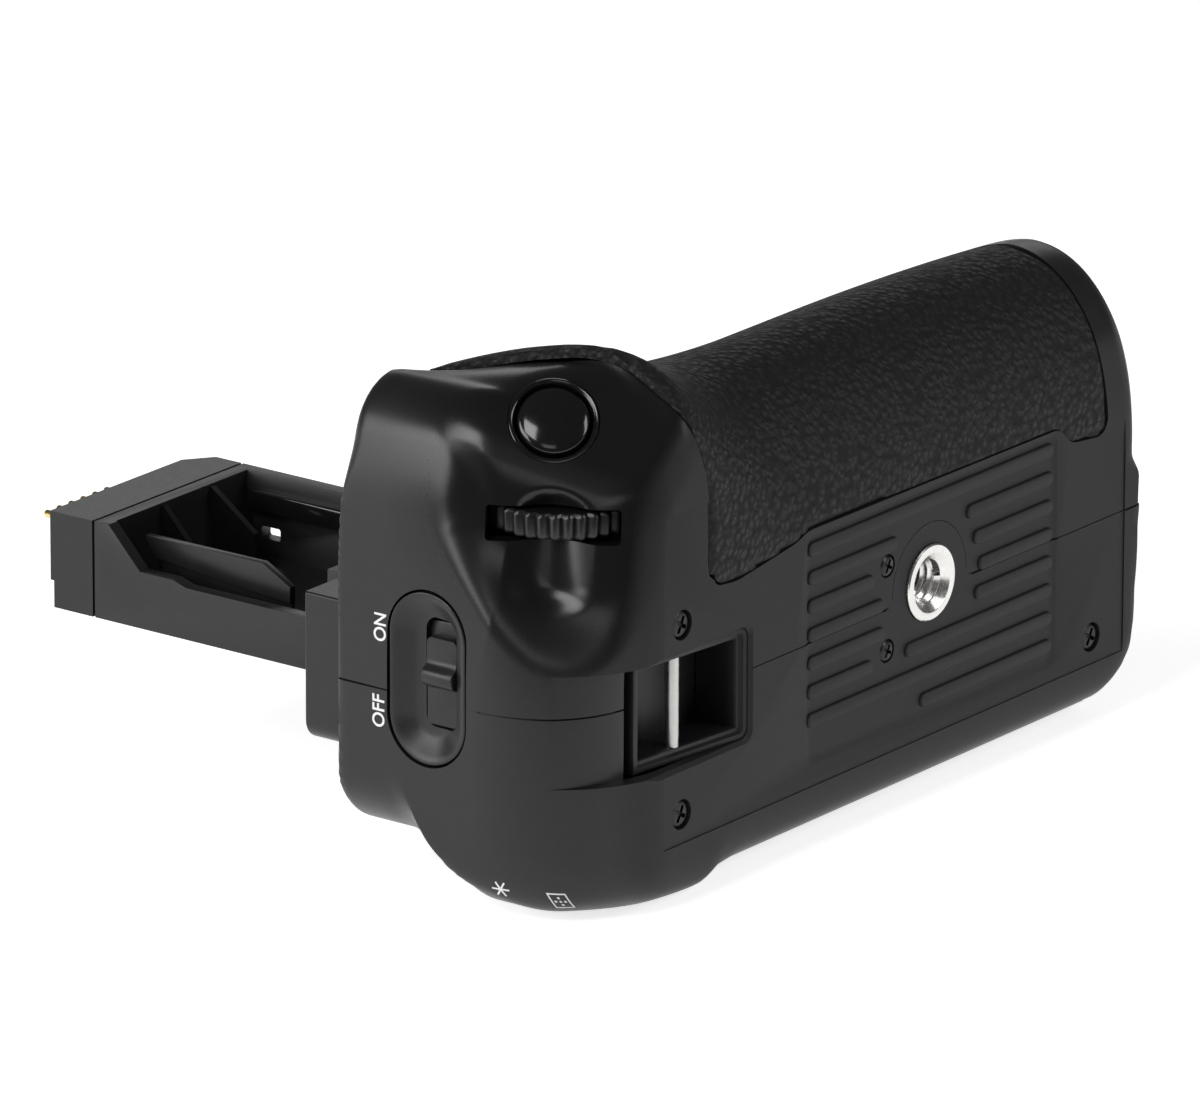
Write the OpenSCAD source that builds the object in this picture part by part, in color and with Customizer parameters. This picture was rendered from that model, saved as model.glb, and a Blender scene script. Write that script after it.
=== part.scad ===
// Vertical battery grip for a compact camera, lying on its rear face.
// X runs along the grip from the shutter end, Y from the tripod face to the camera,
// Z from the rear to the front. The origin is the mouth of the tripod socket.

/* [Shells] */
// From the tripod axis to the shutter end
end_x = 79; // [77:0.5:84]
// From the tripod axis to the far end
far_x = 50.6; // [49:0.2:58]
// From the tripod face to the face that meets the camera
grip_h = 42.8; // [42.4:0.2:47]
// Parting plane of the two shells, from the tripod axis
part_z = -1.4; // [-2.4:0.1:-0.6]
// Depth of the rear face behind the tripod axis
rear_z = 30.5; // [30:0.25:34]
// Depth of the rear step beside the camera
step_z = 22.4; // [21:0.2:23.4]
// Height of the grip front over the tripod axis
front_z = 37; // [36:0.25:42]
// Extra height of the front at the shutter end
hump_h = 8.2; // [4:0.2:9]
// Height of the front edge beside the camera
mate_z = 20; // [19:0.5:26]
// Radius of the corner between the shutter end and the tripod face
corner_r = 19.5; // [17:0.5:21]
// Radius of the corners at the far end
far_r = 4; // [2:0.5:6]
// Radius of the edge between the tripod face and the rear
rear_r = 8; // [6:0.5:9]
// Extra depth of the thumb rest at the rear
thumb_h = 1; // [0:0.1:2]
// Wall of both shells
wall = 2.2; // [1.6:0.1:2.6]
// Thickness of the rubber cover
rubber_t = 1.2; // [0.8:0.1:1.6]

/* [Finger rest] */
// Lean of the button facet from the front axis
button_tilt = 49.8; // [44:0.2:54]
// Turn of the button facet about the front axis
button_turn = 220.3; // [216:0.5:226]
// Diameter of the shutter button
button_d = 9.9; // [8:0.1:11]
// Travel of the shutter button
button_travel = 1.2; // [0.6:0.1:1.5]
// Radius of the command dial
dial_r = 11; // [10:0.1:11.4]
// Thickness of the command dial
dial_t = 3.6; // [3:0.1:4.2]
// Number of ribs round the command dial
dial_ribs = 36; // [24:1:48]
// Height of the command dial over the tripod axis
dial_z = 24.2; // [23.4:0.1:25]

/* [Power switch] */
// Width of the oval switch plate
plate_w = 13; // [11:0.2:14]
// Length of the oval switch plate
plate_l = 24.6; // [22:0.2:26]
// Width of the slot for the switch
slot_w = 5.8; // [4.6:0.1:6.6]
// Travel of the switch
switch_travel = 2.6; // [1.6:0.1:3]

/* [Battery drawer] */
// Width of one battery
battery_w = 33; // [32:0.2:34]
// Thickness of one battery
battery_t = 14; // [12.5:0.2:14.4]
// Length of one battery
battery_l = 45.5; // [40:0.5:47]
// Wall of the battery drawer
drawer_wall = 1.6; // [1.2:0.1:1.8]

/* [Battery stalk] */
// Width of the stalk that fills the camera's battery bay
stalk_w = 33; // [32:0.2:34]
// Thickness of the stalk
stalk_t = 13.95; // [13:0.05:15]
// Reach of the stalk from the tripod face
stalk_y = 100; // [92:0.5:108]
// Length of the contact head of the stalk
head_l = 7.9; // [6:0.1:10]
// Wall of the stalk
stalk_wall = 2; // [1.4:0.1:2.6]
// Spacing of the contact pins
pin_pitch = 2.6; // [2:0.1:3]

/* [Fixings] */
// Minor diameter of the tripod thread
socket_d = 5.2; // [5:0.05:5.4]
// Diameter of the flange of the tripod socket
socket_flange = 11; // [10:0.2:13]
// Major diameter of the mounting screw
screw_d = 6.35; // [6:0.05:6.6]
// Length of the mounting screw over the camera face
screw_reach = 5; // [4:0.25:6]
// Radius of the mounting wheel
wheel_r = 21.4; // [20.6:0.1:22]
// Thickness of the mounting wheel
wheel_t = 5.6; // [4:0.1:6]
// Diameter of the strap bar
bar_d = 2; // [1.6:0.1:2.6]
// Head diameter of the case screws
case_head = 4; // [3:0.1:4.4]

/* [Hidden] */
$fn = 64;
fit = 0.05;
gap = 0.25;
glue = 0.05;
eps = 0.01;
big = 200;

// Places along the length
cap_x = end_x - 22;
hump_run = 24;
lip_run = 2;
lip_h = 2.1;
far_fall = 2.2;
edge_h = 37.3;
edge_run = 42;
edge_rise = 0.2;
crest_at = 17;
crest_in = 5;
foot_h = 12;
foot_rise = 18;
corner_x = corner_r - end_x;

// Rear face: thumb rest, slope up to the step and rounded ends
thumb_run = end_x - 33;
thumb_fall = 1.7;
step_run = end_x - 39;
thumb_step_z = 1.4;
end_round = 7;
end_step_round = 11;
far_round = 8;

// Stalk and collar
mount_plate_x = 29;
mount_plate_z = [-17, 12];
stalk_x = 0.7 - (end_x + mount_plate_x + stalk_w) / 2;
stalk_z = -5.3;
neck_in = 1.5;
stalk_room = end_x - mount_plate_x - wall - rubber_t - stalk_w;
root_out = 0.147 * stalk_room;
root_t = 2.2;
root_y = grip_h - wall - rubber_t - 0.1;
collar_h = 6.8;
collar_x = [2 - end_x, -2 - mount_plate_x];
collar_z = [-12.4, 9];
collar_r = 3;

// Lug for the hand strap
lug_x = [14.7 - end_x, -41.9];
lug_z = [-11.2, 4.6];
lug_y = 9.6;
lug_wall = 1.4;
bracket_t = 1.4;
bracket_x = [lug_x[0] - 1.7, lug_x[1] + 1.9];
bracket_z = [lug_z[0] - 9.8, lug_z[1] + 7.4];
channel_r = end_x + lug_x[0] + 0.2;
channel_y = 3.4;
bar_x = lug_x[0] + 0.424 * (lug_x[1] - lug_x[0]);
bar_y = 3.9;

// Drawer and its door
frame_wall = 1.5;
bay_gap = 0.5;
bush_l = 7.4;
drawer_h = drawer_wall + battery_t + 0.2;
spare_h = grip_h - wall - bush_l - drawer_h - wheel_t - 2 * (bay_gap + frame_wall);
wheel_y = grip_h - wall - 0.18 * spare_h - wheel_t;
drawer_x = 5.5;
drawer_y = bush_l + 0.282 * spare_h + frame_wall + bay_gap;
bay_w = battery_w + 0.6;
bay_l = battery_l + 0.7;
drawer_w = 2 * bay_w + 3 * drawer_wall;
door_in = -rear_z + 2.5;
drawer_z = [door_in, door_in + bay_l + 2 * drawer_wall];
door_x = [-46.5, 43.6];
door_y = [drawer_y - 8.4, drawer_y + 19.4];
ledge_t = 2.2;
ledge_z = door_in + 0.1;
latch_x = -38.6;
latch_y = drawer_y + 5.8;
latch_r = 6.5;
ring_t = 1.2;
ring_pin = 1.37 * latch_r;

// Inner frame round the drawer
frame_x = [drawer_x - drawer_w / 2 - bay_gap, drawer_x + drawer_w / 2 + bay_gap];
frame_y = [drawer_y - bay_gap, drawer_y + drawer_h + bay_gap];
frame_z = [ledge_z + ledge_t, drawer_z[1] + 0.8];
step_at = [frame_y[1] + frame_wall + 1.8, frame_y[1] + frame_wall + 3.2];
thumb_step = [18, step_at[1] + 1.6];

// Mounting screw and wheel
screw_z = -3;
wheel_slot = sqrt(pow(wheel_r, 2) - pow(step_z - wall + screw_z, 2)) + 0.5;
boss_h = 0.333 * spare_h;
mount_post_x = mount_plate_x - 2.6;
mount_post_z = [-9, 5];
pin_at = 20;
pin_r = 2;
pin_foot = 2.8;
pin_reach = 3.2;
pad_t = 0.8;
pad_x = [1 - mount_plate_x, far_x - 6];
pad_z = [mount_plate_z[0] - 1.5, mount_plate_z[1] + 2];

// Finger rest: the plane of the dial facet in plan, and the button facet
dial_n = [-0.883, -0.47];
dial_turn = atan2(dial_n[1], dial_n[0]);
dial_face = [7.4 - end_x, 11.5];
dial_c = [dial_face[0] - dial_n[0] * (dial_r - 0.4), dial_face[1] - dial_n[1] * (dial_r - 0.4)];
scoop_dish = 1;
scoop_h = 14;
scoop_c = [1, 22];
scoop_grow = 1.9;
dial_slot = [18.4, 4.8];
scallop_z = [18.4, 23.8];
scallop_r = 7.6;
scallop_out = 4.5;
button_c = [13.2 - end_x, 15.6, 37.1];
bezel_r = button_d / 2 + 1.25;
axle_r = 1.5;
arm_t = 1;
arm_z = [dial_z - 3.8, dial_z + 2.1];

// Power switch
plate_c = [27.1, 1.5];
slot_c = [25.6, 2.1];
slot_l = 15.6;
tab_l = slot_l - switch_travel - 0.3;
board_x = 6.9 - end_x;
board_y = [20, root_y - root_t - 0.3];
board_z = [-14, 10.6];
board_t = 1.2;
board_in = 3;
board_post = 2;

// Rear buttons
thumb_x = 16.5 - end_x;
thumb_y = [17, 9];
thumb_r = 3;
thumb_rim = 0.6;
thumb_travel = 0.8;
thumb_t = 0.8;
key_h = 0.8;
thumb_post = [4.7, 13];
thumb_board_w = 10;
thumb_board_y = [thumb_y[1] - 3, thumb_y[0] + 4];

// Case screws, as X and Z on the tripod face
case_at = [[21.6 - end_x, 9], [21.6 - end_x, -18], [far_x - 12, -18.2]];
case_post = 3.2;
case_sink = 0.4;
bush_sink = 0.35;
bush_head = 1.55;
head_t = 0.9;
bush_at = [[-9.9, 4.9], [-9.9, -7.4]];
bush_plate_t = 1.5;
bush_plate_x = [bush_at[0][0] - 4.1, 9];
bush_plate_z = [bush_at[1][1] - 4.6, bush_at[0][1] + 4.1];
bush_plate_y = wall + rubber_t + 0.05;
tongue_r = 8.6;

// Colours
black = [0.09, 0.09, 0.095];
gloss = [0.05, 0.05, 0.055];
rubber = [0.13, 0.13, 0.135];
steel = [0.78, 0.78, 0.76];
gold = [0.83, 0.66, 0.32];
green = [0.12, 0.34, 0.2];

// Smooth step from 0 to 1
function smooth(t) = let (c = min(1, max(0, t))) c * c * (3 - 2 * c);

// Front surface: height of the crest, of the edge by the camera and of the tripod face
function crest_z(x) = let (u = min(1, max(0, (x + cap_x - lip_run) / hump_run)))
    front_z + hump_h * pow(1 - u, 2) - lip_h * smooth((lip_run - cap_x - x) / lip_run)
    - far_fall * pow(max(0, x) / far_x, 2);
function edge_z(x) = mate_z + (edge_h - mate_z) * (1 - smooth((x + cap_x) / edge_run))
    + edge_rise * max(0, -cap_x - x);
function crest_y(x) = crest_at - crest_in * (1 - smooth((x + cap_x) / 22));
function foot_z(x) = foot_h + foot_rise * (1 - smooth((x + cap_x + 2) / 26));

// Limits that round the ends in plan and in side view
function end_lean(x) = sqrt(max(0.01, (x + end_x) / 0.0025));
function end_top(x) = let (cx = 9 - end_x, r = 6.6)
    x > cx ? big : x > cx - r + 0.2 ? 33 + sqrt(r * r - pow(x - cx, 2)) : end_lean(x);
function far_top(x) = let (d = max(0, x - far_x + far_r))
    big * (d > 0 ? 0 : 1) + (d > 0 ? crest_z(x) - far_r + sqrt(max(0, far_r * far_r - d * d)) : 0);
function bottom_y(x) = x < corner_x
    ? corner_r - sqrt(max(0, corner_r * corner_r - pow(x - corner_x, 2)))
    : far_r - sqrt(max(0, far_r * far_r - pow(max(0, x - far_x + far_r), 2)));
function mate_y(x) = grip_h - (far_r - sqrt(max(0, far_r * far_r - pow(max(0, x - far_x + far_r), 2))));

// Rear surface: depth of the face and of the step, the edge and the rounded ends
function thumb(x) = smooth((-step_run - x) / 12);
function rear_depth(x) = rear_z + thumb_h * smooth((-thumb_run - x) / 4.5)
    - thumb_fall * smooth((-thumb_run - 4 - x) / 26);
function step_depth(x) = step_z + thumb_step_z * thumb(x);
function rear_edge(x) = rear_r - 2 * thumb(x);
function step_y(x) = step_at + (thumb_step - step_at) * thumb(x);
function end_cut(x, r) = let (a = max(0, r - end_x - x), b = max(0, x - far_x + far_round))
    r - sqrt(max(0, r * r - a * a)) + far_round - sqrt(max(0, far_round * far_round - b * b));

// One half section of the front at station x, drawn in by inset
function front_section(x, inset, base) = let (
    yb = bottom_y(x), ym = mate_y(x), yt = max(crest_y(x), yb + 1.5),
    zt = crest_z(x), zm = edge_z(x), zf = foot_z(x), lim = min(end_top(x), far_top(x)), na = 8, nb = 9)
    concat(
        [[ym - inset, base]],
        [for (k = [0:na]) let (t = k / na, y = (ym - inset) * (1 - t) + yt * t,
            z = zt - (zt - zm) * pow(max(0, (y - yt) / (ym - yt)), 1.6)) [y, max(base + 0.5, min(z, lim) - inset)]],
        [for (k = [1:nb]) let (a = 90 * (1 - k / nb))
            [yt - (yt - yb - inset) * cos(a), max(base + 0.4, min(zf + (zt - zf) * sin(a), lim) - inset)]],
        [[yb + inset, base], [(yb + ym) / 2, base]]);

// One half section of the rear at station x, drawn in by inset
function rear_section(x, inset, base) = let (
    yb = bottom_y(x), ym = mate_y(x), edge = rear_edge(x),
    zr = rear_depth(x) - end_cut(x, end_round), zs = min(zr - 1, step_depth(x) - end_cut(x, end_step_round)),
    y0 = max(step_y(x)[0], yb + edge + 1), y1 = max(step_y(x)[1], y0 + 1),
    r = min(edge, zr - 3), nr = 6, ns = 6)
    concat(
        [[yb + inset, base]],
        [for (k = [0:nr]) let (a = 90 * k / nr)
            [yb + inset + (r - inset) * (1 - cos(a)), min(base - 0.4, -zr + r - (r - inset) * sin(a))]],
        [for (k = [0:ns]) let (t = k / ns)
            [y0 + (y1 - y0) * t - inset * 0.3, min(base - 0.4, -zr + (zr - zs) * smooth(t) + inset)]],
        [[ym - inset, min(base - 0.4, -zs + inset)], [ym - inset, base], [(yb + ym) / 2, base]]);

// Inside of the rear buttons: the rim under the wall, and the board they press
thumb_in = wall + 0.8;
thumb_board_z = -rear_depth(thumb_x) + thumb_in + thumb_t + thumb_travel + 0.1 + key_h;

// Skin over sections that all have the same number of points, the last one in the middle of the base
module loft(xs, sections) {
    n = len(sections[0]);
    m = len(xs);
    polyhedron(
        points = [for (i = [0:m - 1]) for (p = sections[i]) [xs[i], p[0], p[1]]],
        faces = concat(
            [for (j = [0:n - 3]) [n - 1, j, j + 1]],
            [for (i = [0:m - 2]) for (j = [0:n - 1]) let (k = (j + 1) % n)
                each [[i * n + j, (i + 1) * n + j, (i + 1) * n + k], [i * n + j, (i + 1) * n + k, i * n + k]]],
            [for (j = [0:n - 3]) [m * n - 1, (m - 1) * n + j + 1, (m - 1) * n + j]]),
        convexity = 8);
}

// Stations along the length, closer at the two ends
function stations(inset) = concat(
    [for (d = [0.05, 0.35, 0.9, 1.7, 2.8, 4.6, 7, 10.5]) d - end_x + inset],
    [for (d = [16, 19.4, 22, 23.6, 26, 28.5, 31, 33]) d - end_x],
    [for (g = [0.935, 0.848, 0.739, 0.609, 0.435, 0.174]) g * (33 - end_x)],
    [for (g = [0.12, 0.4, 0.67]) g * far_x],
    [for (d = [1.5, 1, 0.55, 0.22, 0.02]) far_x - inset * 1.02 - d * far_r]);

module front_loft(inset, base) {
    xs = stations(inset);
    loft(xs, [for (x = xs) front_section(x, inset, base)]);
}

module rear_loft(inset, base) {
    xs = stations(inset);
    loft(xs, [for (x = xs) rear_section(x, inset, base)]);
}

// Outward frame of the dial facet: X outward, Y along the facet, Z up
module at_dial_face() {
    translate([dial_face[0], dial_face[1], 0]) rotate([0, 0, dial_turn]) children();
}

module at_button() {
    translate(button_c) rotate([0, button_tilt, button_turn]) children();
}

// Space cut away in front of the dial: an arch that opens outwards
module dial_scoop(inset) {
    at_dial_face() translate([-scoop_dish - inset, scoop_c[0], scoop_c[1]]) rotate([90, 0, 90])
        linear_extrude(scoop_h, scale = scoop_grow) offset(delta = inset) polygon([
            [-15.5, 2], [-10, -4], [-4, -8.6], [1, -10], [6, -9.8], [10, -8], [12.5, -4], [13.5, 2], [13.5, 30], [-15.5, 30]]);
}

module button_scoop(inset) {
    at_button() translate([-40, -40, -inset]) cube([80, 80, 60]);
}

module front_body(inset, base) {
    difference() {
        front_loft(inset, base);
        dial_scoop(inset);
        button_scoop(inset);
    }
}

// Outline of the rubber in front view, as a prism through the grip
module rubber_zone(grow) {
    translate([0, grip_h - 0.6 + grow, 0]) rotate([90, 0, 0]) linear_extrude(grip_h + 20) polygon([
        [-cap_x - grow, 60], [-cap_x - grow, 38], [3 - cap_x - grow, 32.2], [4.3 - cap_x - grow, 28.4],
        [5.3 - cap_x - grow, 21], [5.5 - cap_x - grow, 15.5 - grow], [7.4 - cap_x - grow, 12.8 - grow],
        [12 - cap_x, 12.3 - grow], [19 - cap_x, 13.2 - grow], [26 - cap_x, 14.2 - grow],
        [28.5 - cap_x, 15.2 - grow], [30, 14.8 - grow], [33, 12 - grow], [far_x - 10.5 + grow, 11.2 - grow],
        [far_x - 8.8 + grow, 12.6 - grow], [far_x - 8.8 + grow, 60]]);
}

// Plain box from two corners
module span(x, y, z) {
    translate([x[0], y[0], z[0]]) cube([x[1] - x[0], y[1] - y[0], z[1] - z[0]]);
}

// Cylinder along Y from y0 over length l at a place on the tripod face
module post(at, y0, l, r) {
    translate([at[0], y0, at[1]]) rotate([-90, 0, 0]) cylinder(r = r, h = l);
}

// Oval prism along X with its flat ends in Y and Z
module oval(c, w, l, x0, x1) {
    translate([x0, c[0], c[1]]) rotate([90, 0, 90]) linear_extrude(x1 - x0) union() {
        square([w, l - w], center = true);
        for (s = [-1, 1]) translate([0, s * (l - w) / 2]) circle(d = w);
    }
}

// Recess of the strap lug: pocket for the frame and channel round the corner
module strap_channel(r, z) {
    difference() {
        span([-end_x - 5, lug_x[0] + eps], [-5, channel_y + channel_r], z);
        translate([lug_x[0], channel_y + channel_r, -50]) cylinder(r = r, h = 100);
    }
}

// Wall kept behind the channel
module channel_back() {
    strap_channel(channel_r - wall, [lug_z[0] - wall, lug_z[1] + wall]);
}

module lug_cut(grow) {
    span([lug_x[0] - grow, lug_x[1] + grow], [-5, lug_y + grow], [lug_z[0] - grow, lug_z[1] + grow]);
    strap_channel(channel_r, [lug_z[0] - grow, lug_z[1] + grow]);
}

// Openings that both shells share
module shared_cuts() {
    lug_cut(gap);
    oval(plate_c, plate_w + 2 * gap, plate_l + 2 * gap, -end_x - 5, 4 - end_x);
    span([stalk_x + neck_in - gap, stalk_x + stalk_w - neck_in + gap], [root_y, grip_h + 5],
        [stalk_z + neck_in - gap, stalk_z + stalk_t - neck_in + gap]);
    span([-mount_plate_x - fit, mount_plate_x + fit], [root_y, grip_h + 5],
        [mount_plate_z[0] - fit, mount_plate_z[1] + fit]);
    for (at = case_at) {
        post(at, -5, 5 + case_sink + head_t + 0.05, case_head / 2 + 0.15);
        post(at, 0.5, 6, 1.25);
    }
    for (at = bush_at) {
        post(at, -5, 5 + bush_sink + head_t + 0.05, bush_head + 0.15);
        post(at, 0.5, 3.4, 0.9);
    }
}

module front_shell() {
    color(black) difference() {
        union() {
            difference() {
                front_body(0, part_z);
                rubber_zone(glue);
            }
            front_body(rubber_t + glue, part_z);
        }
        difference() {
            front_body(wall + rubber_t, part_z - 1);
            post(case_at[0], 0, lug_y + 0.8, case_post);
            channel_back();
        }
        shared_cuts();
        post([0, 0], -1, wall + 4, tongue_r + 0.1);
        post([0, 0], -1, 12, 5);
        at_button() cylinder(r = bezel_r + fit, h = 20, center = true);
        at_dial_face() translate([-8, -dial_slot[0] / 2, dial_z - dial_slot[1] / 2]) cube([20, dial_slot[0], dial_slot[1]]);
        at_dial_face() for (z = scallop_z) translate([scallop_out, 0, z]) sphere(r = scallop_r);
        at_dial_face() translate([scallop_out, 0, scallop_z[0]]) cylinder(r = scallop_r, h = scallop_z[1] - scallop_z[0]);
    }
}

// Rear opening for the drawer, its latch and the wheel
module rear_cuts() {
    span([door_x[0] - gap, door_x[1] + gap], [door_y[0] - gap, door_y[1] + gap], [-60, ledge_z]);
    span(frame_x, frame_y, [-60, 0]);
    translate([latch_x, latch_y, -40]) cylinder(r = 3.4, h = 30);
    span([latch_x - 2.4, latch_x + 2.4], [latch_y - 6, latch_y + 6], [-40, -10]);
    span([-wheel_slot, wheel_slot], [wheel_y - 0.5, wheel_y + wheel_t + 0.5], [-40, -15]);
    for (y = thumb_y) translate([thumb_x, y, -40]) cylinder(r = thumb_r + 0.2, h = 20);
}

module rear_shell() {
    color(black) difference() {
        union() {
            difference() {
                rear_loft(0, part_z);
                difference() {
                    rear_loft(wall, part_z + 1);
                    span([door_x[0] - 2.5, far_x], [-5, wheel_y - 0.6], [-rear_z - 10, frame_z[0]]);
                    post(case_at[1], 0, lug_y + 0.8, case_post);
                    post(case_at[2], 0, frame_y[0] - frame_wall, case_post);
                    for (y = [board_y[0] + board_in, board_y[1] - board_in]) translate([-end_x, y, board_z[0] + board_in])
                        rotate([0, 90, 0]) cylinder(r = board_post, h = end_x + board_x);
                    for (k = [-1, 1]) translate([thumb_x + k * thumb_post[0], thumb_post[1], -rear_z - 10])
                        cylinder(r = thumb_board_w / 10, h = rear_z + 10 + thumb_board_z);
                    channel_back();
                }
            }
            post([0, 0], 0, wall, tongue_r);
        }
        shared_cuts();
        rear_cuts();
        post([0, 0], -1, 1.9, socket_flange / 2 + fit);
        post([0, 0], -1, 12, 4.6 + fit);
    }
}

module front_rubber() {
    color(rubber) difference() {
        intersection() {
            front_loft(0, part_z);
            rubber_zone(0);
        }
        front_loft(rubber_t, part_z - 1);
        button_scoop(0);
    }
}

// Frame round the drawer, with the posts that carry the mounting plate
module inner_frame() {
    color(gloss) difference() {
        union() {
            difference() {
                span([frame_x[0] - frame_wall, frame_x[1] + frame_wall],
                    [frame_y[0] - frame_wall, frame_y[1] + frame_wall], [frame_z[0], frame_z[1] + frame_wall]);
                span(frame_x, frame_y, [frame_z[0] - 1, frame_z[1]]);
            }
            for (s = [-1, 1]) span([s * mount_post_x - 2, s * mount_post_x + 2],
                [frame_y[1] + frame_wall - eps, grip_h - wall], mount_post_z);
            post([0, screw_z], frame_y[1] + frame_wall - eps, boss_h, 5);
        }
        post([0, screw_z], frame_y[1] + 0.4, 6, 2.5 + fit);
        for (at = [case_at[2]]) post(at, frame_y[0] - frame_wall - 1, 2, 0.8);
        span([drawer_x - 12, drawer_x + 12], [drawer_y + 3, drawer_y + 11], [frame_z[1] - 1, frame_z[1] + 3]);
    }
}

module mount_plate() {
    color(steel) difference() {
        span([-mount_plate_x, mount_plate_x], [grip_h - wall, grip_h], mount_plate_z);
        post([0, screw_z], grip_h - wall - 1, wall + 2, 5 + fit);
        post([pin_at, screw_z], grip_h - wall - 1, wall + 2, pin_foot + 0.02);
    }
}

module mating_pad() {
    color(rubber) difference() {
        span(pad_x, [grip_h, grip_h + pad_t], pad_z);
        post([0, screw_z], grip_h - 1, 4, 7);
        post([pin_at, screw_z], grip_h - 1, 4, 7);
    }
}

module mount_screw() {
    color(steel) {
        difference() {
            union() {
                post([0, screw_z], grip_h - 1, screw_reach + 1, screw_d / 2);
                post([0, screw_z], grip_h - wall - 0.2, wall - 0.2, 5);
                post([0, screw_z], wheel_y - 0.3, grip_h - wall - wheel_y + 0.2, 3.2);
                post([0, screw_z], frame_y[1] + 0.7, wheel_y - frame_y[1] - 0.9, 2.5);
            }
            post([0, screw_z], grip_h + screw_reach - 1, 3, 1);
        }
    }
}

module mount_wheel() {
    color(black) difference() {
        post([0, screw_z], wheel_y, wheel_t, wheel_r);
        post([0, screw_z], wheel_y - 1, wheel_t + 2, 3.2 + 0.02);
        post([0, screw_z], wheel_y + wheel_t / 2 + 0.6, wheel_t, 15);
        for (k = [0:47]) translate([0, 0, screw_z]) rotate([0, 360 * k / 48, 0])
            translate([wheel_r + 0.5, wheel_y - 1, 0]) rotate([-90, 0, 0]) cylinder(r = 1.1, h = wheel_t + 2, $fn = 16);
    }
}

module locating_pin() {
    color(steel) {
        post([pin_at, screw_z], grip_h - wall, wall, pin_foot);
        post([pin_at, screw_z], grip_h - eps, pin_reach + eps, pin_r);
    }
}

module tripod_bush() {
    color(steel) difference() {
        union() {
            post([0, 0], 0, 0.9, socket_flange / 2);
            post([0, 0], 0.5, bush_l - 0.5, 4.6);
        }
        post([0, 0], -1, bush_l + 2, socket_d / 2);
    }
}

module bush_plate() {
    color(steel) difference() {
        span(bush_plate_x, [bush_plate_y, bush_plate_y + bush_plate_t], bush_plate_z);
        post([0, 0], 0, 10, 4.6 + fit);
        for (at = bush_at) post(at, 0, 10, 0.7);
    }
}

// Countersunk cross-head screw, its head at y0
module screw(at, y0, l, head_r, shank_r) {
    difference() {
        union() {
            post(at, y0, head_t, head_r);
            post(at, y0 + 0.5, l - 0.5, shank_r);
        }
        for (q = [0, 90]) translate([at[0], y0, at[1]]) rotate([0, q, 0])
            cube([1.3 * head_r, head_t, 0.3 * head_r], center = true);
    }
}

module bush_screws() {
    color(steel) for (at = bush_at) screw(at, bush_sink, wall + rubber_t + bush_plate_t - bush_sink, bush_head, 0.68);
}

module case_screws() {
    color(gloss) for (at = case_at) screw(at, case_sink, 6, case_head / 2, 1.1);
}

// Frame of the strap lug, its face sloping in towards the corner
module lug_frame() {
    color(black) difference() {
        translate([0, 0, lug_z[0]]) linear_extrude(lug_z[1] - lug_z[0]) polygon([
            [lug_x[0], channel_y], [lug_x[1], 1], [lug_x[1], lug_y], [lug_x[0], lug_y]]);
        span([lug_x[0] + 3, lug_x[1] - lug_wall], [-5, lug_y - 1.2], [lug_z[0] + lug_wall, lug_z[1] - lug_wall]);
        translate([bar_x, bar_y, lug_z[0] - 1]) cylinder(d = bar_d + 0.04, h = 40);
    }
}

module lug_bracket() {
    color(steel) difference() {
        span(bracket_x, [lug_y + 0.8, lug_y + 0.8 + bracket_t], bracket_z);
        for (k = [0, 1]) post(case_at[k], lug_y, 4, 0.8);
    }
}

module strap_bar() {
    color(steel) translate([bar_x, bar_y, lug_z[0]]) cylinder(d = bar_d, h = lug_z[1] - lug_z[0]);
}

// Collar that fills the recess of the camera's battery door
module stalk_collar() {
    color(black) difference() {
        union() {
            span([collar_x[0] + collar_r, collar_x[1]], [grip_h, grip_h + collar_h], collar_z);
            span([collar_x[0], collar_x[1]], [grip_h, grip_h + collar_h], [collar_z[0] + collar_r, collar_z[1]]);
            translate([collar_x[0] + collar_r, grip_h, collar_z[0] + collar_r]) rotate([-90, 0, 0])
                cylinder(r = collar_r, h = collar_h);
        }
        span([stalk_x + neck_in - fit, stalk_x + stalk_w - neck_in + fit], [grip_h - 1, grip_h + collar_h + 1],
            [stalk_z + neck_in - fit, stalk_z + stalk_t - neck_in + fit]);
    }
}

// Hollow stalk: the space that holds the camera's battery door opens to the front
module stalk_housing() {
    top = stalk_z + stalk_t;
    low = 2.9;
    base_y = grip_h + collar_h;
    tip_y = stalk_y - head_l;
    color(black) difference() {
        union() {
            span([stalk_x, stalk_x + stalk_w], [base_y, tip_y], [stalk_z, top]);
            span([stalk_x + neck_in, stalk_x + stalk_w - neck_in], [root_y - eps, base_y + eps],
                [stalk_z + neck_in, top - neck_in]);
            span([stalk_x - root_out, stalk_x + stalk_w + root_out], [root_y - root_t, root_y],
                [stalk_z - root_out, top + root_out]);
        }
        translate([stalk_x + stalk_wall, 0, 0]) rotate([90, 0, 90]) linear_extrude(stalk_w - 2 * stalk_wall) polygon([
            [base_y + 4, stalk_z + stalk_wall], [tip_y - 4.5, stalk_z + stalk_wall], [tip_y - 2.2, top - 2],
            [tip_y - 2.2, top + 1], [base_y + 4, top + 1]]);
        translate([stalk_x - 1, 0, 0]) rotate([90, 0, 90]) linear_extrude(stalk_wall + 2) polygon([
            [base_y - 1, low], [tip_y - 13.8, low], [tip_y - 8, low], [tip_y - 2.4, top + 0.1], [tip_y - 2.4, top + 1],
            [base_y - 1, top + 1]]);
        for (k = [1:6]) post([pin_x(k), pin_z()], tip_y - 2, 4, 0.9);
    }
}

function pin_x(k) = stalk_x + 1.6 + pin_pitch * (k - 1);
function pin_z() = stalk_z + stalk_t - 1.2;

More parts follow.
